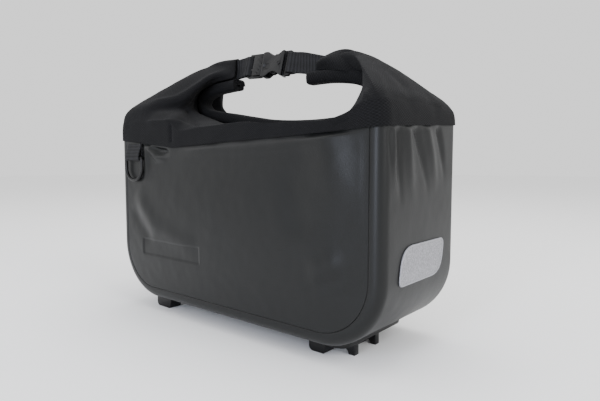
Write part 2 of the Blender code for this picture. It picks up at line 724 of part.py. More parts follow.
def make_buckle_male() -> bpy.types.Object:
    """Model the buckle's plug: webbing bar, body, two sprung prongs and the guide between."""
    half, body = BUCKLE_WIDTH / 2, BUCKLE_MOUTH - CLEARANCE
    prong, inner = half * 0.70, half * 0.52
    upper = [
        (BUCKLE_LEFT, half * 0.86), (BUCKLE_LEFT + 0.0015, half), (body - 0.004, half),
        (body, half * 0.90), (body, prong), (body + 0.013, prong), (body + 0.016, half * 0.85),
        (body + 0.0195, half * 0.72), (body + 0.021, half * 0.60), (body + 0.018, inner),
        (body + 0.002, inner), (body + 0.001, half * 0.16), (body + 0.015, half * 0.12),
    ]
    upright = Matrix.Rotation(math.radians(90), 4, "X")
    loops = [mirrored(upper), frame_slot(BUCKLE_LEFT + BAR_WIDTH)]
    plug = add_object("buckle_male", flat_shape("buckle_male", loops, FRAME_THICKNESS / 2, upright),
                      "black_plastic")
    plug.matrix_world = buckle_placing()
    left = BUCKLE_LEFT + BAR_WIDTH + SLOT_WIDTH + 0.0015
    deep = HOUSING_THICKNESS * 0.44
    pad = box_mesh("plug_pad", (left, -deep, -half * 0.86), (body - 0.0002, deep, half * 0.86))
    combine(plug, pad, "UNION")
    return plug


def make_buckle_female() -> bpy.types.Object:
    """Model the buckle's housing: waisted, hollow for the prongs, with its own webbing bar."""
    half = BUCKLE_WIDTH / 2
    back = BUCKLE_RIGHT - BAR_WIDTH - SLOT_WIDTH - 0.0010
    span = back - BUCKLE_MOUTH
    upper = [
        (BUCKLE_MOUTH, half * 0.95), (BUCKLE_MOUTH + span * 0.06, half),
        (BUCKLE_MOUTH + span * 0.26, half * 0.97), (BUCKLE_MOUTH + span * 0.40, half * 0.76),
        (BUCKLE_MOUTH + span * 0.58, half * 0.66), (BUCKLE_MOUTH + span * 0.76, half * 0.76),
        (BUCKLE_MOUTH + span * 0.92, half * 0.98), (back, half),
    ]
    upright = Matrix.Rotation(math.radians(90), 4, "X")
    shell = flat_shape("buckle_female", [mirrored(upper)], HOUSING_THICKNESS / 2, upright)
    housing = add_object("buckle_female", shell, "black_plastic")
    housing.matrix_world = buckle_placing()
    frame_left = back - span * 0.3
    frame = [(frame_left, half * 0.7), (back - 0.001, half), (BUCKLE_RIGHT - 0.0015, half),
             (BUCKLE_RIGHT, half * 0.86)]
    loops = [mirrored(frame), frame_slot(BUCKLE_RIGHT - BAR_WIDTH - SLOT_WIDTH)]
    combine(housing, flat_shape("housing_frame", loops, FRAME_THICKNESS / 2, upright), "UNION")
    high = half * 0.76
    deep = FRAME_THICKNESS / 2 + 0.0005
    pocket = box_mesh("housing_pocket", (BUCKLE_MOUTH - 0.002, -deep, -high),
                      (BUCKLE_MOUTH + span * 0.90, deep, high))
    combine(housing, pocket, "DIFFERENCE")
    return housing


def strap_path(bar: float, away: int, long_end: float, short_end: float) -> list:
    """Return a webbing loop's path round a bar as points along the bag and through it.

    away is the way the two tails leave the bar, -1 to the left and 1 to the right.
    """
    wrap = math.hypot(BAR_WIDTH, FRAME_THICKNESS) / 2 + WEBBING_PLAY + WEBBING_THICKNESS / 2
    close = (WEBBING_THICKNESS + WEBBING_PLAY) / 2
    reach = bar + away * 0.010
    path = []
    for end, side in ((long_end, -1), (short_end, 1)):
        tail = [(lerp(end, reach, step / 4), side * close) for step in range(4)]
        for step in range(4):
            share = step / 3
            smooth = share * share * (3 - 2 * share)
            tail.append((lerp(reach, bar + away * 0.001, share), side * lerp(close, wrap, smooth)))
        path.append(tail)
    turn = [(bar - away * wrap * math.sin(angle), -wrap * math.cos(angle))
            for angle in (math.pi * step / 6 for step in range(1, 6))]
    return path[0] + turn + path[1][::-1]


def make_strap(name: str, path: list, bar: float, narrow: float, end_height: float) -> bpy.types.Object:
    """Model one webbing strap, looped round a buckle bar and led back under the collar.

    narrow and end_height give its width share and its height where it ends under the collar.
    """
    far = max(abs(along - bar) for along, _ in path)
    buckle = buckle_placing()
    bar_height = (buckle @ Vector((bar, 0, 0))).z

    def place(u: float, v: float) -> Vector:
        along, through = path[round(u * (len(path) - 1))]
        away = abs(along - bar)
        tucked = max(0.0, min(1.0, (away / far - 0.35) / 0.5))
        up = (v - 0.5) * WEBBING_WIDTH
        middle = lerp(bar_height, BASE + end_height, away / far)
        free = Vector((along, through, middle + up * lerp(1.0, narrow, tucked)))
        loose = max(0.0, min(1.0, (away - 0.003) / 0.016))
        return (buckle @ Vector((along, through, up))).lerp(free, loose)

    mesh = warped_grid(name, len(path) - 1, 3, place)
    strap = add_object(name, mesh, "webbing")
    thicken(strap, WEBBING_THICKNESS, 0.0)
    return strap


def make_straps() -> None:
    """Model the two webbing straps, each round its own buckle bar."""
    bar = BUCKLE_LEFT + BAR_WIDTH / 2
    path = strap_path(bar, -1, STRAP_LEFT_END, STRAP_LEFT_END + 0.003)
    make_strap("strap_left", path, bar, STRAP_LEFT_NARROW, STRAP_LEFT_HEIGHT)
    bar = BUCKLE_RIGHT - BAR_WIDTH / 2
    path = strap_path(bar, 1, STRAP_RIGHT_END, STRAP_TAIL_END)
    make_strap("strap_right", path, bar, STRAP_RIGHT_NARROW, STRAP_RIGHT_HEIGHT)


def ring_axis() -> Vector:
    """Return the middle of the ring's bar, the axis that it swings on."""
    stack = RING_STAND + RING_WEBBING_THICKNESS + RING_PLAY + RING_WIRE / 2
    return Vector((RING_PLACE, -HALF_WIDTH - stack, BASE + RING_BAR_HEIGHT))


def make_ring() -> bpy.types.Object:
    """Model the D-shaped ring, its origin on its bar."""
    half = RING_WEBBING_WIDTH / 2 + RING_SIDE_PLAY + RING_WIRE / 2
    straight = RING_DROP - RING_WIRE - half * 0.86
    round_in = half - RING_WEBBING_WIDTH / 2
    points = [(-half + round_in, 0.0), (half - round_in, 0.0), (half - round_in * 0.3, -round_in * 0.3),
              (half, -round_in)]
    points += [(half * math.cos(turn), -straight - half * 0.86 * math.sin(turn))
               for turn in (math.pi * step / 12 for step in range(13))]
    points += [(-half, -round_in), (-half + round_in * 0.3, -round_in * 0.3)]
    curve = bpy.data.curves.new("d_ring", "CURVE")
    curve.dimensions = "3D"
    curve.bevel_depth = RING_WIRE / 2
    curve.bevel_resolution = 2
    spline = curve.splines.new("POLY")
    spline.points.add(len(points) - 1)
    for point, (across, up) in zip(spline.points, points):
        point.co = (across, 0, up, 1)
    spline.use_cyclic_u = True
    curve.materials.append(Material.named("black_plastic"))
    ring = bpy.data.objects.new("d_ring", curve)
    bpy.data.collections["trunk_bag"].objects.link(ring)
    ring.location = ring_axis()
    return ring


def make_ring_webbing() -> bpy.types.Object:
    """Model the webbing that hangs from under the hem and holds the ring's bar in its loop."""
    axis = ring_axis()
    wrap = RING_WIRE / 2 + RING_PLAY + RING_WEBBING_THICKNESS / 2
    hem = min(hem_height(RING_PLACE + side * RING_WEBBING_WIDTH / 2, -HALF_WIDTH) for side in (-1, 1))
    top = hem - CLEARANCE
    close = RING_WEBBING_THICKNESS + RING_PLAY
    path = [(wrap, top), (wrap, lerp(top, axis.z, 0.5))]
    path += [(wrap * math.cos(turn), axis.z - wrap * math.sin(turn))
             for turn in (math.pi * step / 8 for step in range(9))]
    path += [(-wrap, lerp(axis.z, top, 0.3)), (lerp(-wrap, wrap - close, 0.6), lerp(axis.z, top, 0.7)),
             (wrap - close, top)]

    def place(u: float, v: float) -> Vector:
        through, up = path[round(u * (len(path) - 1))]
        return Vector((axis.x + (v - 0.5) * RING_WEBBING_WIDTH, axis.y + through, up))

    mesh = warped_grid("ring_webbing", len(path) - 1, 2, place)
    webbing = add_object("ring_webbing", mesh, "webbing")
    thicken(webbing, RING_WEBBING_THICKNESS, 0.0)
    return webbing


def rounded_corner(corner: tuple, before: tuple, after: tuple, radius: float, steps: int) -> list:
    """Return the points of a rounded corner between its two sides, as a quadratic curve."""
    middle, start, stop = Vector(corner), Vector(before), Vector(after)
    first = middle + (start - middle).normalized() * radius
    last = middle + (stop - middle).normalized() * radius
    points = []
    for step in range(steps + 1):
        share = step / steps
        point = first.lerp(middle, share).lerp(middle.lerp(last, share), share)
        points.append((point.x, point.y))
    return points


def make_patch() -> bpy.types.Object:
    """Model the reflective patch: a leaning panel with two wide and two tight corners."""
    half, top = PATCH_WIDTH / 2, PATCH_LOW + PATCH_HEIGHT
    corners = [(-half - PATCH_LEAN / 2, PATCH_LOW), (half - PATCH_LEAN / 2, PATCH_LOW),
               (half + PATCH_LEAN / 2, top), (-half + PATCH_LEAN / 2, top)]
    radii = [PATCH_CORNER, PATCH_ROUND, PATCH_CORNER, PATCH_ROUND]
    outline = []
    for number, (corner, radius) in enumerate(zip(corners, radii)):
        outline += rounded_corner(corner, corners[number - 1], corners[(number + 1) % 4], radius, 5)
    facing = (Matrix.Translation((HALF_LENGTH + CLEARANCE + PATCH_THICKNESS / 2, PATCH_SHIFT, BASE))
              @ Matrix.Rotation(math.radians(90), 4, "Z") @ Matrix.Rotation(math.radians(90), 4, "X"))
    mesh = flat_shape("reflective_patch", [outline], PATCH_THICKNESS / 2, facing)
    round_top = BASE + CORNER_RADIUS
    shape = bmesh.new()
    shape.from_mesh(mesh)
    every = shape.verts[:] + shape.edges[:] + shape.faces[:]
    bmesh.ops.bisect_plane(shape, geom=every, plane_co=(0, 0, round_top), plane_no=(0, 0, 1))
    for vertex in shape.verts:
        below = max(0.0, round_top - vertex.co.z)
        vertex.co.x -= CORNER_RADIUS - math.sqrt(CORNER_RADIUS ** 2 - below ** 2)
    shape.to_mesh(mesh)
    shape.free()
    return add_object("reflective_patch", mesh, "reflective_film")


def foot_outline(length: float, slant: float, rounding: float, top: float) -> list:
    """Return a foot's outline seen from the front: rounded at its lower left, slanted right."""
    low = [(length / 2 - slant, 0.0), (length / 2, top), (-length / 2, top)]
    return low + rounded_corner((-length / 2, 0.0), (-length / 2, top), (length / 2, 0.0), rounding, 3)


def make_foot(name: str, x: float, y: float, length: float) -> bpy.types.Object:
    """Model one of the adapter's hook feet under the plate."""
    top = PLATE_BOTTOM - CLEARANCE
    outline = foot_outline(length, length * 0.12, HOOK_ROUND, top)
    facing = Matrix.Translation((x, y, 0)) @ Matrix.Rotation(math.radians(90), 4, "X")
    foot = add_object(name, flat_shape(name, [outline], HOOK_WIDTH / 2, facing), "black_plastic")
    foot.modifiers.new("edges", "BEVEL").width = 0.0008
    foot.modifiers["edges"].segments = 1
    return foot


def make_plate() -> bpy.types.Object:
    """Model the adapter's base plate, screwed flat under the shell."""
    half_length, half_width = PLATE_LENGTH / 2, PLATE_WIDTH / 2
    corners = [(-half_length, -half_width), (half_length, -half_width),
               (half_length, half_width), (-half_length, half_width)]
    outline = []
    for number, corner in enumerate(corners):
        outline += rounded_corner(corner, corners[number - 1], corners[(number + 1) % 4], 0.012, 4)
    facing = Matrix.Translation((0, 0, PLATE_TOP - PLATE_THICKNESS / 2))
    mesh = flat_shape("adapter_plate", [outline], PLATE_THICKNESS / 2, facing)
    return add_object("adapter_plate", mesh, "black_plastic")


def make_latch() -> bpy.types.Object:
    """Model the adapter's latch housing: two ribs with sloping webs and a plate between them."""
    top = PLATE_BOTTOM - CLEARANCE
    left, right = LATCH_REACH - LATCH_LENGTH, LATCH_REACH
    low = (left, LATCH_LEFT + LATCH_TUCK, LATCH_FLOOR)
    high = (right - LATCH_RIB, LATCH_RIGHT - LATCH_TUCK, top)
    latch = add_object("latch_housing", box_mesh("latch_housing", low, high), "black_plastic")
    slope = [(right, top), (right, 0.0), (right - LATCH_RIB, 0.0), (left, top * 0.7), (left, top)]
    upright = Matrix.Rotation(math.radians(90), 4, "X")
    for number, y in enumerate((LATCH_LEFT + LATCH_RIB / 2, LATCH_RIGHT - LATCH_RIB / 2)):
        facing = Matrix.Translation((0, y, 0)) @ upright
        rib = flat_shape(f"latch_rib_{number}", [slope], LATCH_RIB / 2, facing)
        combine(latch, rib, "UNION")
    return latch


def make_adapter() -> None:
    """Model the rack adapter: plate, four hook feet and the latch at the right end."""
    make_plate()
    make_latch()
    near = HOOK_ROW_INSET - HALF_WIDTH
    for side, facing in (("front", 1), ("back", -1)):
        y = facing * (near + HOOK_WIDTH / 2)
        make_foot(f"foot_{side}_left", HOOK_LEFT_INSET - HALF_LENGTH, y, HOOK_LONG)
        make_foot(f"foot_{side}_right", LATCH_REACH - HOOK_TO_LATCH, y * HOOK_ROW_TAPER, HOOK_SHORT)


def main() -> None:
    """Build the bag."""
    clear_scene()
    collection("trunk_bag")
    collection("cutters")
    make_panel("front_panel", -1, FRONT_FOLDS)
    make_panel("back_panel", 1, BACK_FOLDS)
    make_gusset()
    make_collar()
    make_roll()
    make_buckle_male()
    make_buckle_female()
    make_straps()
    make_ring_webbing()
    make_ring()
    make_patch()
    make_adapter()


main()
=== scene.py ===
"""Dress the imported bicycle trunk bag: welded shell, woven collar, webbing, buckle, ring, adapter."""
from __future__ import annotations

import logging
import math
from dataclasses import dataclass
from enum import Enum
from typing import Callable, Sequence

import bpy
from mathutils import Matrix, Vector, noise

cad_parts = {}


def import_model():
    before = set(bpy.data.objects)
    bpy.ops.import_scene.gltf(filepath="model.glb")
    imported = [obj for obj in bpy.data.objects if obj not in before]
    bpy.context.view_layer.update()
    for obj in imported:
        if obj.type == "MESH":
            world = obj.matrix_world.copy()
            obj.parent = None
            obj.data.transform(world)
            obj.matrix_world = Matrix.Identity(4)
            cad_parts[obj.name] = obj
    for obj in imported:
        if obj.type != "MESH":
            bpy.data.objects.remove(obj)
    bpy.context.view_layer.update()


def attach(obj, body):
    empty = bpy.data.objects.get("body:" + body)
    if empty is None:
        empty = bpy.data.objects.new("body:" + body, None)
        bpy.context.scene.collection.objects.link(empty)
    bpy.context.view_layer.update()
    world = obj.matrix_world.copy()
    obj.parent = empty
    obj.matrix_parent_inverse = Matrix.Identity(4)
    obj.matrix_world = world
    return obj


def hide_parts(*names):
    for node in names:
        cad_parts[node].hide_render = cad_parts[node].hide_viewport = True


LOG = logging.getLogger("trunk_bag")
BAG = "bag"
RING = "ring"
MERGE = 1e-6
WAVE_SCALE = 45.0
RIPPLE_SCALE = 110.0
Point = tuple[float, float, float]


@dataclass(frozen=True)
class Sizes:
    """The bag's sizes in metres, as the CAD source has them."""

    length: float = 0.340
    width: float = 0.127
    hem: float = 0.171
    corner: float = 0.059
    edge: float = 0.009
    seam: float = 0.0117
    wall: float = 0.0015
    rim_lap: float = 0.0045
    hem_fade: float = 0.010
    belly: float = 0.003
    rise: float = 0.083
    cloth: float = 0.0012
    skirt_gap: float = 0.0004
    lip_lean: float = 0.0020
    seat_width: float = 0.018
    roll_width: float = 0.0162
    roll_thickness: float = 0.011
    roll_seat: float = 0.0009
    fin: float = 0.0215
    foot: float = 0.014
    gap: float = 0.0003
    webbing: float = 0.020
    webbing_thickness: float = 0.0014

    @property
    def half_length(self) -> float:
        """Half the shell's length."""
        return self.length / 2

    @property
    def half_width(self) -> float:
        """Half the shell's width."""
        return self.width / 2

    @property
    def hem_top(self) -> float:
        """Height of the hem's highest front point above the ground."""
        return self.foot + self.hem


S = Sizes()


def lerp(first: float, second: float, share: float) -> float:
    """Return the value a share of the way from first to second.

    Args:
        first: the value at share 0.
        second: the value at share 1.
        share: how far between them.

    Returns:
        The value between.
    """
    return first + (second - first) * share


def clamp(value: float, low: float = 0.0, high: float = 1.0) -> float:
    """Keep a value between two limits."""
    return max(low, min(high, value))


def smooth(share: float) -> float:
    """Ease a share in and out.

    Args:
        share: the share to ease, kept from 0 to 1.

    Returns:
        The eased share.
    """
    share = clamp(share)
    return share * share * (3 - 2 * share)


def curve_at(points: Sequence[Vector], place: float) -> Vector:
    """Read a smooth curve through evenly numbered points.

    Args:
        points: the points, numbered from 0.
        place: a number along them, such as 1.5 for midway from point 1 to point 2.

    Returns:
        The point on the curve.
    """
    last = len(points) - 1
    index = max(0, min(last - 1, math.floor(place)))
    share = clamp(place - index)
    before, after = points[max(0, index - 1)], points[min(last, index + 2)]
    start, end = points[index], points[index + 1]
    cube, square = share ** 3, share ** 2
    return (start * (2 * cube - 3 * square + 1) + (end - before) / 2 * (cube - 2 * square + share)
            + end * (3 * square - 2 * cube) + (after - start) / 2 * (cube - square))


def srgb(code: str, alpha: float = 1.0) -> tuple[float, float, float, float]:
    """Turn an sRGB hex colour into Blender's linear colour.

    Args:
        code: the colour as #rrggbb.
        alpha: its opacity.

    Returns:
        The linear colour with its opacity.
    """
    shares = [int(code[at:at + 2], 16) / 255 for at in (1, 3, 5)]
    linear = [part / 12.92 if part <= 0.04045 else ((part + 0.055) / 1.055) ** 2.4 for part in shares]
    return (*linear, alpha)


def add_node(tree: bpy.types.NodeTree, kind: str, inputs: dict | None = None, **settings: object
             ) -> bpy.types.Node:
    """Add a shader node with its settings and links.

    Args:
        tree: the material's node tree.
        kind: the node's type name.
        inputs: values or sockets by input name or number.
        **settings: the node's own properties.

    Returns:
        The new node.
    """
    node = tree.nodes.new(kind)
    for name, value in settings.items():
        setattr(node, name, value)
    for name, value in (inputs or {}).items():
        socket = node.inputs[name]
        if isinstance(value, bpy.types.NodeSocket):
            tree.links.new(value, socket)
        else:
            socket.default_value = value
    return node


class Weave(Enum):
    """How a cloth's threads run."""

    PLAIN = "plain"
    RIBBED = "ribbed"


@dataclass(frozen=True)
class Finish:
    """What every finish has: its slot, its name and its shader's own values."""

    slot: str
    name: str
    colour: str
    roughness: float
    ior: float = 1.5
    metallic: float = 0.0
    sheen: float = 0.0
    coat: float = 0.0
    specular: float = 0.5

    def start(self) -> tuple[bpy.types.Material, bpy.types.NodeTree, bpy.types.Node]:
        """Make the material with its Principled shader's constant values.

        Returns:
            The material, its node tree and its shader.
        """
        material = bpy.data.materials.new(self.name)
        material.use_nodes = True
        tree = material.node_tree
        shader = tree.nodes["Principled BSDF"]
        shader.inputs["Base Color"].default_value = srgb(self.colour)
        shader.inputs["Roughness"].default_value = self.roughness
        shader.inputs["IOR"].default_value = self.ior
        shader.inputs["Specular IOR Level"].default_value = self.specular
        shader.inputs["Metallic"].default_value = self.metallic
        shader.inputs["Sheen Weight"].default_value = self.sheen
        shader.inputs["Sheen Roughness"].default_value = 0.5
        shader.inputs["Coat Weight"].default_value = self.coat
        shader.inputs["Coat Roughness"].default_value = 0.35
        return material, tree, shader


@dataclass(frozen=True)
class CoatedCloth(Finish):
    """Polyester cloth with a welded TPU coat: satin, with the cloth's grain faintly through it."""

    grain_mm: float = 0.9
    shade: str = "#0b0c0c"

    def build(self) -> bpy.types.Material:
        """Make the material.

        Returns:
            The material.
        """
        material, tree, shader = self.start()
        place = add_node(tree, "ShaderNodeTexCoord").outputs["Object"]
        cloudy = add_node(tree, "ShaderNodeTexNoise", {"Vector": place, "Scale": 9.0, "Detail": 3.0})
        tint = add_node(tree, "ShaderNodeMix", {"Factor": cloudy.outputs["Fac"], "A": srgb(self.shade),
                                                "B": srgb(self.colour)}, data_type="RGBA")
        tree.links.new(tint.outputs[2], shader.inputs["Base Color"])
        grain = add_node(tree, "ShaderNodeTexVoronoi", {"Vector": place,
                                                        "Scale": 1000 / self.grain_mm})
        fine = add_node(tree, "ShaderNodeTexNoise", {"Vector": place, "Scale": 420.0, "Detail": 4.0})
        mixed = add_node(tree, "ShaderNodeMath", {0: grain.outputs["Distance"],
                                                  1: fine.outputs["Fac"]}, operation="ADD")
        polish = add_node(tree, "ShaderNodeMapRange", {"Value": cloudy.outputs["Fac"],
                                                       "To Min": self.roughness - 0.05,
                                                       "To Max": self.roughness + 0.06})
        tree.links.new(polish.outputs["Result"], shader.inputs["Roughness"])
        bump = add_node(tree, "ShaderNodeBump", {"Strength": 0.16, "Distance": 0.0003,
                                                 "Height": mixed.outputs["Value"]})
        tree.links.new(bump.outputs["Normal"], shader.inputs["Normal"])
        return material


@dataclass(frozen=True)
class WovenCloth(Finish):
    """Woven nylon: threads over and under each other on the piece's own UV map in metres, with a painted
    highlight on the raised threads and painted shade in the hollows.
    """

    thread_mm: float = 1.2
    weave: Weave = Weave.PLAIN
    # colour of the painted highlight on the raised threads
    light: str = "#3a3a3c"
    relief: float = 0.0004

    def build(self) -> bpy.types.Material:
        """Make the material.

        Returns:
            The material.
        """
        material, tree, shader = self.start()
        place = add_node(tree, "ShaderNodeUVMap", uv_map="UVMap").outputs["UV"]
        wander = add_node(tree, "ShaderNodeTexNoise", {"Vector": place, "Scale": 260.0, "Detail": 2.0})
        shifted = add_node(tree, "ShaderNodeVectorMath", {0: wander.outputs["Color"],
                                                          1: (0.5, 0.5, 0.5)}, operation="SUBTRACT")
        scaled = add_node(tree, "ShaderNodeVectorMath", {0: shifted.outputs["Vector"],
                                                         "Scale": 0.0004}, operation="SCALE")
        moved = add_node(tree, "ShaderNodeVectorMath", {0: place, 1: scaled.outputs["Vector"]})
        split = add_node(tree, "ShaderNodeSeparateXYZ", {"Vector": moved.outputs["Vector"]})
        turn = 2 * math.pi * 1000 / self.thread_mm / 2
        across = 0.35 if self.weave is Weave.RIBBED else 1.0
        warp = self.wave(tree, split.outputs["X"], turn * across)
        weft = self.wave(tree, split.outputs["Y"], turn)
        if self.weave is Weave.PLAIN:
            over = add_node(tree, "ShaderNodeMath", {0: warp, 1: weft}, operation="MULTIPLY")
        else:
            faint = add_node(tree, "ShaderNodeMath", {0: warp, 1: 0.3}, operation="MULTIPLY")
            over = add_node(tree, "ShaderNodeMath", {0: faint.outputs["Value"], 1: weft},
                            operation="ADD")
        height = add_node(tree, "ShaderNodeMapRange", {"Value": over.outputs["Value"],
                                                       "From Min": -1.0, "From Max": 1.0})
        fluff = add_node(tree, "ShaderNodeTexNoise", {"Vector": place, "Scale": 900.0, "Detail": 3.0})
        # painted highlight and painted shade: the colour follows the thread height, lighter on the
        # raised threads and darker in the hollows, made uneven at random by the fluff noise
        crest_highlight_mask = add_node(tree, "ShaderNodeMath", {0: height.outputs["Result"],
                                                  1: fluff.outputs["Fac"]}, operation="MULTIPLY")
        tint = add_node(tree, "ShaderNodeMix", {"Factor": crest_highlight_mask.outputs["Value"],
                                                "A": srgb(self.colour), "B": srgb(self.light)},
                        data_type="RGBA")
        tree.links.new(tint.outputs[2], shader.inputs["Base Color"])
        bump = add_node(tree, "ShaderNodeBump", {"Strength": 0.8, "Distance": self.relief,
                                                 "Height": height.outputs["Result"]})
        tree.links.new(bump.outputs["Normal"], shader.inputs["Normal"])
        return material

    def wave(self, tree: bpy.types.NodeTree, along: bpy.types.NodeSocket, turn: float
             ) -> bpy.types.NodeSocket:
        """Add a sine along one direction of the cloth.

        Args:
            tree: the material's node tree.
            along: the distance in metres.
            turn: radians for each metre.

        Returns:
            The sine's socket.
        """
        angle = add_node(tree, "ShaderNodeMath", {0: along, 1: turn}, operation="MULTIPLY")
        sine = add_node(tree, "ShaderNodeMath", {0: angle.outputs["Value"]}, operation="SINE")
        return sine.outputs["Value"]


@dataclass(frozen=True)
class MouldedPlastic(Finish):
    """Black acetal or nylon, moulded: smooth satin with a faint spark-eroded texture."""

    grain_mm: float = 0.5

    def build(self) -> bpy.types.Material:
        """Make the material.

        Returns:
            The material.
        """
        material, tree, shader = self.start()
        place = add_node(tree, "ShaderNodeTexCoord").outputs["Object"]
        spark = add_node(tree, "ShaderNodeTexNoise", {"Vector": place, "Detail": 4.0,
                                                      "Scale": 1000 / self.grain_mm})
        worn = add_node(tree, "ShaderNodeTexNoise", {"Vector": place, "Scale": 60.0, "Detail": 2.0})
        polish = add_node(tree, "ShaderNodeMapRange", {"Value": worn.outputs["Fac"],
                                                       "To Min": self.roughness - 0.07,
                                                       "To Max": self.roughness + 0.10})
        tree.links.new(polish.outputs["Result"], shader.inputs["Roughness"])
        bump = add_node(tree, "ShaderNodeBump", {"Strength": 0.12, "Distance": 0.0002,
                                                 "Height": spark.outputs["Fac"]})
        tree.links.new(bump.outputs["Normal"], shader.inputs["Normal"])
        return material


@dataclass(frozen=True)
class ReflectiveFilm(Finish):
    """Retroreflective film: a bead layer that reads as light grey with a fine glittering grain."""

    bead_mm: float = 0.9
    dark: str = "#7d7d82"

    def build(self) -> bpy.types.Material:
        """Make the material.

        Returns:
            The material.
        """
        material, tree, shader = self.start()
        place = add_node(tree, "ShaderNodeTexCoord").outputs["Object"]
        beads = add_node(tree, "ShaderNodeTexNoise", {"Vector": place, "Detail": 5.0,
                                                      "Scale": 1000 / self.bead_mm})
        spread = add_node(tree, "ShaderNodeMapRange", {"Value": beads.outputs["Fac"],
                                                       "From Min": 0.3, "From Max": 0.7})
        tint = add_node(tree, "ShaderNodeMix", {"Factor": spread.outputs["Result"],
                                                "A": srgb(self.dark), "B": srgb(self.colour)},
                        data_type="RGBA")
        tree.links.new(tint.outputs[2], shader.inputs["Base Color"])
        bump = add_node(tree, "ShaderNodeBump", {"Strength": 0.25, "Distance": 0.0003,
                                                 "Height": beads.outputs["Fac"]})
        tree.links.new(bump.outputs["Normal"], shader.inputs["Normal"])
        return material


# Woven polyester under a welded TPU coat: a satin sheet whose soft shine follows every dent
COATED = CoatedCloth("coated_fabric", "tpu_coated_polyester", "#101111", 0.40, specular=0.24)
# Uncoated nylon cloth: dull, nearly black, with a painted highlight on its raised threads; its 0.6 mm
# threads are drawn at 1.3 mm so that they show
WOVEN = WovenCloth("woven_nylon", "woven_nylon_cloth", "#060607", 0.88, sheen=0.02,
                   specular=0.12, thread_mm=1.3, light="#1c1c1e")
# Woven nylon webbing: fine cross ribs that catch the light, their crests also coloured lighter as a
# painted highlight, drawn at 1.8 mm for its real 1.2 mm
WEBBING = WovenCloth("webbing", "nylon_webbing", "#060607", 0.74, sheen=0.02, specular=0.2,
                     thread_mm=1.8, weave=Weave.RIBBED, light="#252528")
# Acetal moulded in a spark-eroded tool: black with soft, slightly uneven highlights
PLASTIC = MouldedPlastic("black_plastic", "moulded_acetal", "#050506", 0.38, specular=0.26)
# Bead film: light grey that glitters finely, paler where the press squeezed its rim; 0.1 mm beads
# are drawn at about 1 mm so that their grain shows
FILM_RIM = ReflectiveFilm("reflective_film", "retroreflective_film_rim", "#a4a4a9", 0.45, metallic=0.1,
                          dark="#8a8a90")
FILM = ReflectiveFilm("reflective_film", "retroreflective_film", "#9a9a9f", 0.5, metallic=0.1,
                      dark="#6a6a6f", bead_mm=1.1)

MADE: dict[str, bpy.types.Material] = {}


def dress(piece: bpy.types.Object, finish: Finish) -> None:
    """Give a piece its material.

    Args:
        piece: the piece to dress.
        finish: its finish.
    """
    if finish.name not in MADE:
        MADE[finish.name] = finish.build()
    piece.data.materials.clear()
    piece.data.materials.append(MADE[finish.name])


def deselect() -> None:
    """Leave object mode with nothing selected."""
    if bpy.context.object and bpy.context.object.mode != "OBJECT":
        bpy.ops.object.mode_set(mode="OBJECT")
    bpy.ops.object.select_all(action="DESELECT")


def activate(piece: bpy.types.Object) -> None:
    """Make a piece the only selected and active one.

    Args:
        piece: the piece to work on.
    """
    deselect()
    piece.select_set(True)
    bpy.context.view_layer.objects.active = piece


def apply_all(piece: bpy.types.Object) -> None:
    """Apply every modifier in order.

    Args:
        piece: the piece to work on.
    """
    activate(piece)
    for modifier in list(piece.modifiers):
        bpy.ops.object.modifier_apply(modifier=modifier.name)


def sheet(name: str, across: int, up: int, place: Callable[[float, float], Vector], wall: float,
          outward: float = 1.0, closed: bool = False,
          chart: Callable[[float, float], tuple[float, float]] | None = None) -> bpy.types.Object:
    """Model a sheet of cloth from a grid.

    Args:
        name: the piece's name.
        across: faces along the grid's first way.
        up: faces along its second way.
        place: gives a vertex its point from two shares from 0 to 1.
        wall: the cloth's thickness.
        outward: 1 puts the wall behind the surface's normal and -1 before it.
        closed: whether the first way runs round to its start.
        chart: gives a vertex its UV in metres from the same shares.

    Returns:
        The finished piece.
    """
    deselect()
    bpy.ops.mesh.primitive_grid_add(x_subdivisions=across, y_subdivisions=up, size=1.0)
    piece = bpy.context.object
    piece.name = piece.data.name = name
    layer = piece.data.uv_layers[0]
    layer.name = "UVMap"
    shares = [(vertex.co.x + 0.5, vertex.co.y + 0.5) for vertex in piece.data.vertices]
    for loop in piece.data.loops:
        u, v = shares[loop.vertex_index]
        layer.data[loop.index].uv = chart(u, v) if chart else (u, v)
    for vertex, (u, v) in zip(piece.data.vertices, shares):
        vertex.co = place(u, v)
    if closed:
        activate(piece)
        bpy.ops.object.mode_set(mode="EDIT")
        bpy.ops.mesh.select_all(action="SELECT")
        bpy.ops.mesh.remove_doubles(threshold=MERGE)
        bpy.ops.object.mode_set(mode="OBJECT")
    activate(piece)
    bpy.ops.object.shade_smooth()
    if wall:
        thickness = piece.modifiers.new("wall", "SOLIDIFY")
        thickness.thickness = wall
        thickness.offset = -outward
        thickness.use_even_offset = True
    return piece


class Profile(Enum):
    """The cross-section of a wrinkle."""

    SOFT = "soft"
    PINCH = "pinch"


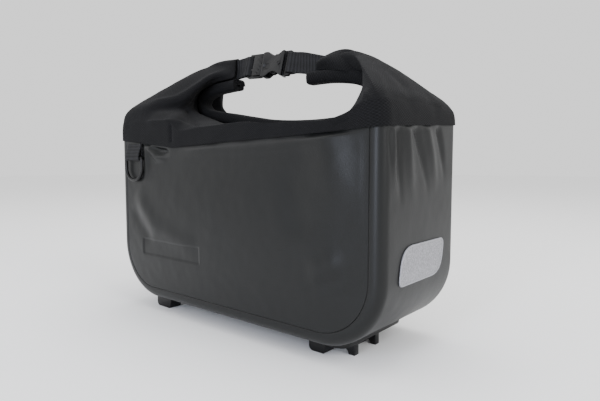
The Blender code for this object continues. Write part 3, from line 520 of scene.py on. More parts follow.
@dataclass(frozen=True)
class Wrinkle:
    """A wrinkle along a line of points; its height is outwards, and negative for a dent."""

    points: tuple[Point, ...]
    width: float
    height: float
    profile: Profile = Profile.SOFT
    start: float = 0.3
    end: float = 0.3

    def at(self, spot: Vector) -> float:
        """Return the wrinkle's height at a spot near its line.

        Args:
            spot: a point on the cloth.

        Returns:
            The height to add there.
        """
        best, along, run = 1e9, 0.0, 0.0
        lengths = [math.dist(a, b) for a, b in zip(self.points, self.points[1:])]
        whole = sum(lengths)
        for first, second, length in zip(self.points, self.points[1:], lengths):
            way = [b - a for a, b in zip(first, second)]
            offset = [c - a for a, c in zip(first, spot)]
            share = clamp(sum(a * b for a, b in zip(way, offset)) / (length * length))
            away = math.dist(offset, [part * share for part in way])
            if away < best:
                best, along = away, run + share * length
            run += length
        if best > self.width * 3:
            return 0.0
        share = along / whole
        fade = smooth(share / self.start) if self.start else 1.0
        fade *= smooth((1 - share) / self.end) if self.end else 1.0
        reach = best / self.width
        if self.profile is Profile.PINCH:
            return self.height * fade * math.exp(-reach * 1.8)
        return self.height * fade * math.exp(-reach * reach)


def wrinkled(piece: bpy.types.Object, wrinkles: Sequence[Wrinkle],
             hold: Callable[[Vector], float] | None = None, waves: float = 0.0) -> None:
    """Push a sheet's vertices along their normals by its wrinkles.

    Args:
        piece: the sheet, before its wall is applied.
        wrinkles: what to add.
        hold: gives the share of the height that a place may take.
        waves: height of the cloth's own shallow unevenness.
    """
    moves = []
    for vertex in piece.data.vertices:
        height = sum(wrinkle.at(vertex.co) for wrinkle in wrinkles)
        waving = noise.noise(vertex.co * WAVE_SCALE) + 0.5 * noise.noise(vertex.co * RIPPLE_SCALE)
        height += waves * waving
        if height and hold:
            height *= hold(vertex.co)
        moves.append(vertex.normal * height if height else None)
    for vertex, move in zip(piece.data.vertices, moves):
        if move is not None:
            vertex.co += move
    piece.data.update()


def rounded(piece: bpy.types.Object, width: float, segments: int = 3, angle: float = 35.0) -> None:
    """Round a piece's edges and smooth it.

    Args:
        piece: the piece to work on.
        width: the rounding's width.
        segments: faces across it.
        angle: degrees from which an edge is rounded.
    """
    bevel = piece.modifiers.new("edges", "BEVEL")
    bevel.width = width
    bevel.segments = segments
    bevel.limit_method = "ANGLE"
    bevel.angle_limit = math.radians(angle)
    bevel.use_clamp_overlap = True
    apply_all(piece)
    activate(piece)
    bpy.ops.object.shade_smooth_by_angle(angle=math.radians(40))


def finish_piece(piece: bpy.types.Object, finish: Finish, body: str, *nodes: str) -> None:
    """Dress a piece, put it on its body and let it stand for its CAD nodes.

    Args:
        piece: the piece to work on.
        finish: its finish.
        body: the CAD body it rides on.
        *nodes: the CAD nodes it stands for.
    """
    dress(piece, finish)
    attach(piece, body)
    if nodes:
        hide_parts(*nodes)
    LOG.info("%s: %d faces", piece.name, len(piece.data.polygons))


@dataclass(frozen=True)
class Shell:
    """The coated shell: front and back panel inside their weld seams, and the gusset."""

    front_mesh: tuple[int, int] = (270, 150)
    back_mesh: tuple[int, int] = (110, 60)
    hem_line: tuple[tuple[float, float], ...] = (
        (-1.00, 1.000), (-0.80, 0.980), (-0.43, 0.940), (-0.01, 0.959), (0.35, 0.970),
        (0.66, 0.982), (1.00, 0.998))
    back_hem: float = 1.045
    bar: tuple[float, float, float, float] = (-0.127, -0.031, 0.0476, 0.0640)
    bar_depth: float = 0.0008

    def hem_height(self, x: float, y: float) -> float:
        """Return the height of the collar's hem above the ground.

        Args:
            x: place along the bag.
            y: place across it.

        Returns:
            The height.
        """
        along = x / S.half_length
        share = clamp(0.5 + y / S.width)
        for (left, low), (right, high) in zip(self.hem_line, self.hem_line[1:]):
            if along <= right or right == 1.0:
                step = clamp((along - left) / (right - left))
                return S.foot + S.hem * lerp(lerp(low, high, step), self.back_hem, share)
        return S.hem_top

    def corner_height(self, inset: float, x: float) -> float:
        """Return how high the outline, drawn in by inset, stands above its lowest line at x.

        Args:
            inset: how far the outline is drawn in.
            x: place along the bag.

        Returns:
            The height over the shell's bottom.
        """
        radius = S.corner - inset
        beyond = abs(x) - (S.half_length - S.corner)
        if beyond <= 0:
            return inset
        return S.corner - math.sqrt(max(0.0, radius ** 2 - min(beyond, radius) ** 2))

    def panel_column(self, share: float, half: float) -> float:
        """Space a panel's columns evenly in the middle and closer round its corners.

        Args:
            share: share of the columns from left to right.
            half: half the panel's length.

        Returns:
            The column's place along the bag.
        """
        side = 2 * share - 1
        straight = (S.half_length - S.corner) / S.half_length
        if abs(side) <= straight:
            return side * half
        turn = (abs(side) - straight) / (1 - straight) * math.pi / 2
        return math.copysign(straight * half + (half - straight * half) * math.sin(turn), side)

    def panel(self, name: str, facing: int, mesh: tuple[int, int], wrinkles: Sequence[Wrinkle]
              ) -> bpy.types.Object:
        """Model a panel inside its seam.

        Args:
            name: the piece's name.
            facing: -1 for the front and 1 for the back.
            mesh: faces along and up.
            wrinkles: what its cloth shows.

        Returns:
            The finished panel.
        """
        inset = S.seam + S.gap
        half = S.half_length - inset

        def spot(u: float, v: float) -> tuple[float, float]:
            """Return a grid place as a place on the panel.

            Args:
                u: share along.
                v: share up.

            Returns:
                The place along the bag and the height over the shell's bottom.
            """
            x = self.panel_column(u, half)
            low = self.corner_height(inset, x)
            hem = self.hem_height(x, facing * S.half_width) - S.foot
            return x, lerp(low, hem + S.rim_lap, v)

        def swell(x: float, up: float) -> float:
            """Return the filled sheet's belly, less the pressed bar.

            Args:
                x: place along the bag.
                up: height over the shell's bottom.

            Returns:
                How far the sheet stands out.
            """
            low = self.corner_height(inset, x)
            hem = self.hem_height(x, facing * S.half_width) - S.foot
            edge = clamp(min((half - abs(x)) / 0.03, (up - low) / 0.03))
            rim = clamp((hem - 0.0005 - up) / S.hem_fade)
            bulge = max(0.0, 1 - (x / half) ** 2) ** 0.5 * math.sin(math.pi * min(1.0, up / hem))
            pressed = self.press(x, up) if facing < 0 else 0.0
            return S.belly * bulge * edge ** 0.7 * rim - pressed

        def place(u: float, v: float) -> Vector:
            """Return a grid place as a point on the panel."""
            x, up = spot(u, v)
            return Vector((x, facing * (S.half_width + swell(x, up)), S.foot + up))

        def hold(at: Vector) -> float:
            """Keep the seam and the hem's edge still.

            Args:
                at: a point on the sheet.

            Returns:
                The share of a wrinkle that shows there.
            """
            up = at.z - S.foot
            low = self.corner_height(inset, at.x)
            hem = self.hem_height(at.x, facing * S.half_width) - S.foot
            edge = clamp(min((half - abs(at.x)) / 0.008, (up - low) / 0.008))
            return smooth(edge) * smooth((hem - 0.0003 - up) / 0.004)

        piece = sheet(name, *mesh, place, S.wall, outward=-facing * 1.0, chart=spot)
        wrinkled(piece, wrinkles, hold, 0.00022)
        apply_all(piece)
        return piece

    def press(self, x: float, up: float) -> float:
        """Return the depth of the blank bar pressed into the front's lower left.

        Args:
            x: place along the bag.
            up: height over the shell's bottom.

        Returns:
            The depth.
        """
        left, right, low, high = self.bar
        inside = min(x - left, right - x, up - low, high - up)
        return self.bar_depth * smooth(inside / 0.0014 + 0.5)

    def outline(self, share: float, rim: float) -> tuple[Vector, Vector]:
        """Return a point and the inward normal on the U outline, from rim to rim.

        Args:
            share: share of the outline's run.
            rim: height of both its ends.

        Returns:
            The point and the normal.
        """
        side, turn, floor = rim - S.corner, S.corner * math.pi / 2, S.length - 2 * S.corner
        run = share * (2 * (side + turn) + floor)
        if share > 0.5:
            point, normal = self.outline(1 - share, rim)
            return Vector((-point.x, 0, point.z)), Vector((-normal.x, 0, normal.z))
        if run <= side:
            return Vector((-S.half_length, 0, rim - run)), Vector((1, 0, 0))
        centre = Vector((-S.half_length + S.corner, 0, S.corner))
        if run <= side + turn:
            angle = (run - side) / S.corner
            normal = Vector((math.cos(angle), 0, math.sin(angle)))
            return centre - normal * S.corner, normal
        return Vector((centre.x + run - side - turn, 0, 0)), Vector((0, 0, 1))

    def band(self, share: float) -> tuple[float, float, float]:
        """Return the inset, y and run across the gusset.

        Args:
            share: share of the way across.

        Returns:
            The inset, y and run.
        """
        flange, arc = S.seam - S.edge, S.edge * math.pi / 2
        flat = S.half_width - S.edge
        run = share * 2 * (flange + arc + flat)
        if share > 0.5:
            inset, y, mirrored = self.band(1 - share)
            return inset, -y, 2 * (flange + arc + flat) - mirrored
        if run <= flange:
            return S.seam - run, -S.half_width, run
        if run <= flange + arc:
            angle = (run - flange) / S.edge
            return S.edge * (1 - math.sin(angle)), -flat - S.edge * math.cos(angle), run
        return 0.0, run - flange - arc - flat, run

    def gusset(self, wrinkles: Sequence[Wrinkle]) -> bpy.types.Object:
        """Model the band round both ends and the bottom.

        Args:
            wrinkles: what its cloth shows.

        Returns:
            The finished piece.
        """

        def place(u: float, v: float) -> Vector:
            """Return a grid place as a point on the band.

            Args:
                u: share round the outline.
                v: share across the band.

            Returns:
                The point.
            """
            inset, y, _ = self.band(v)
            hem = self.hem_height(S.half_length, y) - S.foot
            point, normal = self.outline(u, hem + S.rim_lap)
            point = point + normal * inset
            return Vector((point.x, y, S.foot + point.z))

        def chart(u: float, v: float) -> tuple[float, float]:
            """Return a grid place on the cloth, in metres."""
            return u * 0.62, self.band(v)[2]

        def hold(at: Vector) -> float:
            """Keep the seams and the hem's edge still.

            Args:
                at: a point on the band.

            Returns:
                The share of a wrinkle that shows there.
            """
            hem = self.hem_height(at.x, at.y)
            edge = clamp((S.half_width - 0.004 - abs(at.y)) / 0.006)
            return smooth((hem - 0.0003 - at.z) / 0.004) * smooth(edge)

        piece = sheet("gusset_band", 240, 84, place, S.wall, outward=-1.0, chart=chart)
        wrinkled(piece, wrinkles, hold, 0.00018)
        apply_all(piece)
        return piece

    def build(self) -> None:
        """Build and dress the shell."""
        front = self.panel("front_sheet", -1, self.front_mesh, FRONT_WRINKLES)
        finish_piece(front, COATED, BAG, "front_panel")
        back = self.panel("back_sheet", 1, self.back_mesh, BACK_WRINKLES)
        finish_piece(back, COATED, BAG, "back_panel")
        finish_piece(self.gusset(END_WRINKLES), COATED, BAG, "gusset")


def on_front(*spots: tuple[float, float]) -> tuple[Point, ...]:
    """Place a wrinkle's points on the front panel from x and height above the shell's bottom."""
    return tuple((x, -S.half_width, S.foot + up) for x, up in spots)


def on_end(*spots: tuple[float, float]) -> tuple[Point, ...]:
    """Place a wrinkle's points on the right end from y and height above the shell's bottom."""
    return tuple((S.half_length, y, S.foot + up) for y, up in spots)


FRONT_WRINKLES = (
    Wrinkle(on_front((-0.121, 0.172), (-0.110, 0.158), (-0.099, 0.151), (-0.080, 0.150)), 0.0035,
            0.0030, Profile.SOFT, 0.05, 0.4),
    Wrinkle(on_front((-0.106, 0.168), (-0.095, 0.160), (-0.076, 0.159)), 0.0060, -0.0036,
            Profile.SOFT, 0.1, 0.4),
    Wrinkle(on_front((-0.120, 0.170), (-0.1175, 0.143), (-0.125, 0.121)), 0.0040, 0.0022,
            Profile.SOFT, 0.1, 0.6),
    Wrinkle(on_front((-0.143, 0.116), (-0.115, 0.090), (-0.097, 0.065)), 0.0110, 0.0016),
    Wrinkle(on_front((-0.148, 0.098), (-0.124, 0.074), (-0.104, 0.060)), 0.0090, -0.0014),
    Wrinkle(on_front((-0.115, 0.080), (-0.071, 0.070), (-0.031, 0.060)), 0.0100, 0.0012),
    Wrinkle(on_front((0.121, 0.176), (0.129, 0.130), (0.135, 0.095)), 0.0190, 0.0044, Profile.SOFT,
            0.0, 0.7),
    Wrinkle(on_front((0.098, 0.058), (0.120, 0.064), (0.140, 0.078)), 0.0110, 0.0020, Profile.SOFT,
            0.4, 0.4),
    Wrinkle(on_front((0.080, 0.150), (0.092, 0.105), (0.104, 0.080)), 0.0150, -0.0016),
    Wrinkle(on_front((0.110, 0.050), (0.135, 0.055), (0.150, 0.070)), 0.0090, -0.0014),
    Wrinkle(on_front((-0.070, 0.158), (0.030, 0.158), (0.140, 0.164)), 0.0070, 0.0014, Profile.SOFT,
            0.2, 0.2),
)
BACK_WRINKLES = (
    Wrinkle(tuple((x, S.half_width, S.foot + z) for x, z in ((-0.11, 0.16), (-0.05, 0.10))), 0.012,
            -0.0016),
    Wrinkle(tuple((x, S.half_width, S.foot + z) for x, z in ((0.06, 0.09), (0.12, 0.15))), 0.012,
            -0.0016),
)
END_WRINKLES = (
    Wrinkle(on_end((-0.0436, 0.176), (-0.0410, 0.145), (-0.0360, 0.105)), 0.0038, 0.0024,
            Profile.SOFT, 0.0, 0.8),
    Wrinkle(on_end((-0.0171, 0.176), (-0.0030, 0.150), (0.0110, 0.115)), 0.0036, 0.0026,
            Profile.SOFT, 0.0, 0.8),
    Wrinkle(on_end((0.0224, 0.178), (0.0320, 0.158), (0.0410, 0.125)), 0.0036, 0.0022,
            Profile.SOFT, 0.0, 0.8),
    Wrinkle(on_end((-0.0570, 0.176), (-0.0540, 0.150), (-0.0520, 0.135)), 0.0024, 0.0016,
            Profile.SOFT, 0.0, 0.8),
    Wrinkle(on_end((-0.0300, 0.176), (-0.0240, 0.145), (-0.0160, 0.110)), 0.0060, -0.0022,
            Profile.SOFT, 0.0, 0.7),
    Wrinkle(on_end((0.0020, 0.176), (0.0140, 0.150), (0.0260, 0.118)), 0.0060, -0.0022,
            Profile.SOFT, 0.0, 0.7),
    Wrinkle(on_end((-0.0500, 0.176), (-0.0480, 0.145), (-0.0450, 0.120)), 0.0040, -0.0014,
            Profile.SOFT, 0.0, 0.7),
)


@dataclass(frozen=True)
class Rib:
    """One line of cloth up the collar, from its hem to the roll, in shares of the bag's sizes."""

    hem: float
    lip: float
    wall: Point
    ridge: Point
    crown: Point
    seat: float
    lift: float
    depth: float


LEFT_END_RIBS = (
    Rib(0.00, 0.24, (-0.965, 0.00, 0.41), (-0.800, 0.00, 0.720), (-0.520, 0.00, 1.00), 0.0, 1.00,
        0.00),
    Rib(0.50, 0.24, (-0.965, 0.50, 0.41), (-0.760, 0.27, 0.735), (-0.520, 0.055, 0.975), 0.0, 0.90,
        0.42),
)
FRONT_RIBS = (
    Rib(-1.00, 0.23, (-0.93, 0.90, 0.42), (-0.680, 0.44, 0.765), (-0.51, 0.105, 0.95), 0.0, 0.66, 0.52),
    Rib(-0.80, 0.22, (-0.74, 0.93, 0.44), (-0.545, 0.62, 0.535), (-0.405, 0.26, 0.80), 0.0, 0.32, 0.60),
    Rib(-0.67, 0.21, (-0.66, 0.90, 0.35), (-0.530, 0.57, 0.455), (-0.42, 0.235, 0.735), 0.01, 0.03,
        0.82),
    Rib(-0.55, 0.20, (-0.54, 0.89, 0.31), (-0.540, 0.54, 0.420), (-0.490, 0.235, 0.66), 0.08, 0.0, 0.84),
    Rib(-0.45, 0.19, (-0.44, 0.89, 0.27), (-0.530, 0.50, 0.390), (-0.565, 0.235, 0.57), 0.15, 0.0, 0.84),
    Rib(-0.36, 0.08, (-0.35, 0.91, 0.16), (-0.450, 0.49, 0.310), (-0.590, 0.24, 0.44), 0.21, 0.0, 0.84),
    Rib(-0.18, 0.10, (-0.19, 0.91, 0.13), (-0.310, 0.50, 0.230), (-0.48, 0.24, 0.31), 0.28, 0.0, 0.84),
    Rib(-0.03, 0.11, (-0.03, 0.83, 0.12), (-0.100, 0.52, 0.135), (-0.22, 0.26, 0.16), 0.38, 0.0, 0.84),
    Rib(0.18, 0.12, (0.18, 0.83, 0.11), (0.170, 0.52, 0.080), (0.14, 0.27, 0.055), 0.50, 0.0, 0.84),
    Rib(0.38, 0.09, (0.38, 0.83, 0.09), (0.380, 0.52, 0.060), (0.38, 0.27, 0.040), 0.58, 0.0, 0.84),
    Rib(0.58, 0.08, (0.59, 0.86, 0.09), (0.580, 0.55, 0.080), (0.58, 0.27, 0.060), 0.66, 0.0, 0.84),
    Rib(0.73, 0.08, (0.74, 0.89, 0.10), (0.720, 0.57, 0.135), (0.71, 0.25, 0.150), 0.72, 0.0, 0.84),
    Rib(0.83, 0.13, (0.85, 0.93, 0.20), (0.800, 0.62, 0.350), (0.80, 0.27, 0.330), 0.78, 0.0, 0.84),
    Rib(0.90, 0.20, (0.90, 0.93, 0.32), (0.810, 0.64, 0.450), (0.77, 0.29, 0.530), 0.84, 0.0, 0.84),
    Rib(0.95, 0.22, (0.92, 0.93, 0.35), (0.800, 0.60, 0.540), (0.71, 0.25, 0.660), 0.885, 0.02, 0.82),
    Rib(1.00, 0.23, (0.935, 0.90, 0.36), (0.78, 0.52, 0.615), (0.65, 0.18, 0.760), 0.910, 0.24, 0.62),
)
RIGHT_END_RIBS = (
    Rib(0.50, 0.24, (0.965, 0.50, 0.35), (0.810, 0.27, 0.630), (0.62, 0.075, 0.830), 0.935, 0.50, 0.44),
    Rib(0.00, 0.24, (0.965, 0.00, 0.35), (0.820, 0.00, 0.640), (0.62, 0.00, 0.850), 0.938, 0.62, 0.00),
)
BACK_RIBS = (
    Rib(-1.00, 0.23, (-0.93, 0.90, 0.42), (-0.680, 0.44, 0.765), (-0.51, 0.105, 0.95), 0.0, 0.66, 0.52),
    Rib(-0.80, 0.22, (-0.74, 0.93, 0.40), (-0.660, 0.60, 0.520), (-0.47, 0.25, 0.79), 0.0, 0.20, 0.70),
    Rib(-0.60, 0.22, (-0.58, 0.92, 0.33), (-0.610, 0.54, 0.430), (-0.53, 0.265, 0.69), 0.09, 0.03, 0.86),
    Rib(-0.40, 0.21, (-0.38, 0.92, 0.27), (-0.460, 0.52, 0.320), (-0.605, 0.25, 0.46), 0.20, 0.0, 0.86),
    Rib(-0.15, 0.18, (-0.15, 0.88, 0.205), (-0.250, 0.52, 0.210), (-0.43, 0.24, 0.30), 0.29, 0.0, 0.84),
    Rib(0.15, 0.175, (0.15, 0.85, 0.180), (0.120, 0.52, 0.115), (0.05, 0.27, 0.075), 0.46, 0.0, 0.84),
    Rib(0.45, 0.175, (0.45, 0.85, 0.175), (0.450, 0.52, 0.100), (0.45, 0.27, 0.050), 0.60, 0.0, 0.84),
    Rib(0.68, 0.18, (0.68, 0.88, 0.195), (0.680, 0.55, 0.160), (0.67, 0.26, 0.120), 0.70, 0.0, 0.84),
    Rib(0.84, 0.21, (0.85, 0.92, 0.29), (0.800, 0.60, 0.370), (0.80, 0.27, 0.340), 0.79, 0.0, 0.84),
    Rib(0.95, 0.22, (0.92, 0.93, 0.35), (0.800, 0.60, 0.540), (0.71, 0.25, 0.660), 0.885, 0.02, 0.82),
    Rib(1.00, 0.23, (0.935, 0.90, 0.355), (0.78, 0.52, 0.615), (0.65, 0.18, 0.760), 0.910, 0.24, 0.62),
)
ROLL_LINE = (
    (-0.250, 0.680), (-0.335, 0.674), (-0.450, 0.655), (-0.545, 0.595), (-0.578, 0.480),
    (-0.530, 0.365), (-0.430, 0.310), (-0.290, 0.265), (-0.110, 0.200), (0.080, 0.140),
    (0.300, 0.112), (0.500, 0.118), (0.640, 0.160), (0.735, 0.240), (0.775, 0.350),
    (0.740, 0.470), (0.630, 0.570), (0.480, 0.621), (0.326, 0.628))
ROLL_POINTS = [Vector((along * S.half_length, 0, S.hem_top + rise * S.rise))
               for along, rise in ROLL_LINE]


def roll_point(share: float) -> Vector:
    """Return a point on the roll's middle line, by share of its run from left to right."""
    return curve_at(ROLL_POINTS, share * (len(ROLL_POINTS) - 1))


def roll_outside(share: float) -> Vector:
    """Return the direction from the roll's middle line to the outside of its C.

    Args:
        share: share of the roll's run.

    Returns:
        The unit direction outwards.
    """
    ahead = roll_point(min(1.0, share + 0.01)) - roll_point(max(0.0, share - 0.01))
    ahead.normalize()
    return Vector((ahead.z, 0, -ahead.x))


@dataclass(frozen=True)
class Collar:
    """The woven collar: hem band, hoods over the two ends, and its wound top."""

    shell: Shell
    steps: int = 9
    rows: int = 58
    turns: float = 3.5
    turn_faces: int = 14
    layer: float = 0.27
    tighten: float = 0.9

    def lengths(self) -> tuple[float, float, float, float]:
        """Return the hem outline's half end, corner arc, front and half perimeter.

        Returns:
            The four lengths.
        """
        side = S.half_width - S.edge
        arc = (S.edge + S.cloth + S.skirt_gap) * math.pi / 2
        front = S.length - 2 * S.edge
        return side, arc, front, 2 * (side + arc) + front

    def skirt_point(self, run: float) -> Vector:
        """Return a point on the hem's outline, by its distance from the left end's middle.

        Args:
            run: distance along the outline.

        Returns:
            The point, at height 0.
        """
        stand = S.cloth + S.skirt_gap
        side, arc, _, whole = self.lengths()
        if run > whole / 2:
            mirrored = self.skirt_point(whole - run)
            return Vector((-mirrored.x, mirrored.y, 0))
        if run <= side:
            return Vector((-S.half_length - stand, -run, 0))
        if run <= side + arc:
            radius = S.edge + stand
            turn = (run - side) / radius
            return Vector((-S.half_length + S.edge - radius * math.cos(turn),
                           -side - radius * math.sin(turn), 0))
        return Vector((run - whole / 2, -S.half_width - stand, 0))

    def skirt_run(self, rib: Rib, end: int) -> float:
        """Return where a rib stands on the hem's outline.

        Args:
            rib: the rib.
            end: -1 or 1 on an end's middle part, or else 0.

        Returns:
            The distance from the left end's middle.
        """
        side, arc, _, whole = self.lengths()
        if end:
            away = min(rib.hem * S.half_width, side)
            return away if end < 0 else whole - away
        if abs(rib.hem) == 1.0:
            return side + arc / 2 if rib.hem < 0 else whole - side - arc / 2
        return whole / 2 + rib.hem * S.half_length

    def half_ring(self, middle: Sequence[Rib], side: int) -> list[tuple[float, list[Vector]]]:
        """Return the columns of the front (-1) or back (1) half, each with its run and points.

        Args:
            middle: the ribs between the two ends.
            side: -1 for the front and 1 for the back.

        Returns:
            The columns from left to right.
        """
        ends = [-1] * len(LEFT_END_RIBS) + [0] * len(middle) + [1] * len(RIGHT_END_RIBS)
        ribs = [*LEFT_END_RIBS, *middle, *RIGHT_END_RIBS]
        runs = [self.skirt_run(rib, end) for rib, end in zip(ribs, ends)]
        groups: list[list[Vector]] = [[], [], [], []]
        for rib in ribs:
            for group, (x, y, rise) in zip(groups, (rib.wall, rib.ridge, rib.crown)):
                group.append(Vector((x * S.half_length, -y * S.half_width, S.hem_top + rise * S.rise)))
            away = S.roll_thickness / 2 + S.roll_seat + rib.lift * S.fin
            seat = roll_point(rib.seat) + roll_outside(rib.seat) * away
            groups[3].append(seat + Vector((0, -rib.depth * S.seat_width / 2, 0)))
        lips = [Vector((0, 0, S.hem_top + rib.lip * S.rise)) for rib in ribs]
        columns = []
        for number in range(self.steps * (len(ribs) - 1) + 1):
            place = number / self.steps
            first = min(int(place), len(ribs) - 2)
            run = lerp(runs[first], runs[first + 1], place - first)
            foot = self.skirt_point(run)
            foot.z = self.shell.hem_height(foot.x, -side * foot.y)
            top = curve_at(lips, place).z
            knots = [self.band_place(foot, top, 1.0)] + [curve_at(group, place) for group in groups]
            column = []
            for row in range(self.rows + 1):
                level = row / self.rows * 5.0
                point = self.band_place(foot, top, level) if level <= 1 else curve_at(knots, level - 1)
                column.append(Vector((point.x, -side * point.y, point.z)))
            columns.append((run, column))
        return columns

    def band_place(self, foot: Vector, top: float, share: float) -> Vector:
        """Return a point up the hem band, which leans in from both ends near its top.

        Args:
            foot: the hem's point.
            top: the band's top height.
            share: share of the way up.

        Returns:
            The point.
        """
        lean = foot.x / S.half_length * S.lip_lean * share ** 3
        return Vector((foot.x - lean, foot.y, lerp(foot.z, top, share)))

    def hood(self) -> bpy.types.Object:
        """Model the collar's cloth.

        Returns:
            The finished piece.
        """
        front = self.half_ring(FRONT_RIBS, -1)
        back = self.half_ring(BACK_RIBS, 1)
        whole = front[-1][0]
        ring = front + [(2 * whole - run, column) for run, column in back[-2::-1]]
        spans = [0.0]
        for (_, first), (_, second) in zip(ring, ring[1:]):
            spans.append(spans[-1] + (second[self.rows // 3] - first[self.rows // 3]).length)

        def place(u: float, v: float) -> Vector:
            """Return a grid place as a point on the collar."""
            return ring[round(u * (len(ring) - 1))][1][round(v * self.rows)]

        def chart(u: float, v: float) -> tuple[float, float]:
            """Return a grid place on the cloth, in metres."""
            return spans[round(u * (len(ring) - 1))], v * 0.11

        piece = sheet("collar_cloth", len(ring) - 1, self.rows, place, S.cloth, closed=True,
                      chart=chart)
        wrinkled(piece, COLLAR_WRINKLES, None, 0.0005)
        apply_all(piece)
        return piece

    def roll(self) -> bpy.types.Object:
        """Model the wound top, cloth turned over on itself.

        Returns:
            The finished piece.
        """
        def place(u: float, v: float) -> Vector:
            """Return a grid place as a point on the wound cloth.

            Args:
                u: share along the roll.
                v: share of the winding, from its middle out.

            Returns:
                The point.
            """
            angle = (1 - v) * self.turns * 2 * math.pi
            shrink = 1 - (1 - v) * self.turns * self.layer
            flat = math.copysign(abs(math.cos(angle)) ** 0.5, math.cos(angle)) * S.roll_width / 2
            high = math.copysign(abs(math.sin(angle)) ** 0.5, math.sin(angle)) * S.roll_thickness / 2
            flat *= 1 - (1 - shrink) * self.tighten
            point = roll_point(u) + roll_outside(u) * high * shrink
            return point + Vector((0, flat, 0))

        def chart(u: float, v: float) -> tuple[float, float]:
            """Return a grid place on the cloth, in metres."""
            return u * 0.46, v * 0.12

        around = round(self.turns * self.turn_faces)
        piece = sheet("roll_cloth", 150, around, place, 0.0011, chart=chart)
        apply_all(piece)
        return piece

    def tongue(self) -> bpy.types.Object:
        """Model the cloth folded up from the roll into the mouth of the right hood.

        Returns:
            The finished piece.
        """
        low = [Vector((0.064, -0.004, 0.2440)), Vector((0.082, -0.006, 0.2425)),
               Vector((0.100, -0.007, 0.2375)), Vector((0.116, -0.006, 0.2290))]
        high = [Vector((0.066, -0.001, 0.2525)), Vector((0.082, 0.000, 0.2590)),
                Vector((0.098, 0.001, 0.2580)), Vector((0.118, 0.002, 0.2480))]

        def place(u: float, v: float) -> Vector:
            """Return a grid place as a point on the folded cloth.

            Args:
                u: share along the roll.
                v: share up.

            Returns:
                The point.
            """
            point = curve_at(low, u * 3).lerp(curve_at(high, u * 3), v)
            fold = 0.0016 * math.sin((u * 2.6 + v * 1.4) * math.pi)
            return point + Vector((0, fold - 0.003 * math.sin(v * math.pi), 0))

        piece = sheet("hood_tongue", 60, 24, place, S.cloth, 0.0,
                      chart=lambda u, v: (u * 0.055, v * 0.016))
        wrinkled(piece, (), None, 0.0005)
        apply_all(piece)
        return piece

    def build(self) -> None:
        """Build and dress the collar and the roll."""
        finish_piece(self.tongue(), WOVEN, BAG)
        finish_piece(self.hood(), WOVEN, BAG, "collar")
        finish_piece(self.roll(), WOVEN, BAG, "roll_closure")


COLLAR_WRINKLES = (
    Wrinkle(((-0.0740, -0.0646, 0.2006), (-0.0737, -0.0651, 0.1896), (-0.0741, -0.0651, 0.1796)),
            0.0030, -0.0026, Profile.PINCH, 0.2, 0.1),
    Wrinkle(((-0.1210, -0.0647, 0.2037), (-0.0798, -0.0643, 0.2023), (-0.0633, -0.0586, 0.1994),
             (-0.0375, -0.0614, 0.1948)), 0.0032, 0.0019, Profile.PINCH, 0.2, 0.2),
    Wrinkle(((-0.0878, -0.0372, 0.2284), (-0.0880, -0.0324, 0.2159), (-0.0446, -0.0557, 0.1973),
             (-0.0293, -0.0621, 0.1943)), 0.0040, -0.0032, Profile.PINCH, 0.2, 0.2),
    Wrinkle(((-0.1319, -0.0572, 0.2237), (-0.0963, -0.0412, 0.2288), (-0.0853, -0.0311, 0.2375),
             (-0.0713, -0.0179, 0.2504), (-0.0499, -0.0048, 0.2620)), 0.0036, 0.0020, Profile.SOFT,
            0.2, 0.2),
    Wrinkle(((-0.0725, -0.0157, 0.2453), (-0.0600, -0.0130, 0.2475), (-0.0450, -0.0100, 0.2490)),
            0.0024, -0.0018, Profile.PINCH),
    Wrinkle(((0.1613, -0.0651, 0.1861), (0.1641, -0.0646, 0.1943), (0.1659, -0.0625, 0.2040),
             (0.1595, -0.0491, 0.2159), (0.1409, -0.0327, 0.2320)), 0.0050, 0.0010, Profile.SOFT,
            0.2, 0.2),
    Wrinkle(((0.1482, -0.0553, 0.2113), (0.1559, -0.0635, 0.2068), (0.1583, -0.0646, 0.2044),
             (0.1571, -0.0651, 0.1961)), 0.0026, 0.0011, Profile.SOFT, 0.2, 0.4),
    Wrinkle(((0.1445, -0.0651, 0.1927), (0.1384, -0.0651, 0.1895), (0.1249, -0.0651, 0.1866)),
            0.0026, -0.0010, Profile.PINCH),
    Wrinkle(((0.1700, -0.0300, 0.1950), (0.1560, -0.0160, 0.2180), (0.1350, -0.0120, 0.2350)), 0.0070,
            -0.0016),
    Wrinkle(((0.1700, 0.0250, 0.1960), (0.1600, 0.0100, 0.2150)), 0.0080, -0.0012),
)


Outline = list[tuple[float, float]]


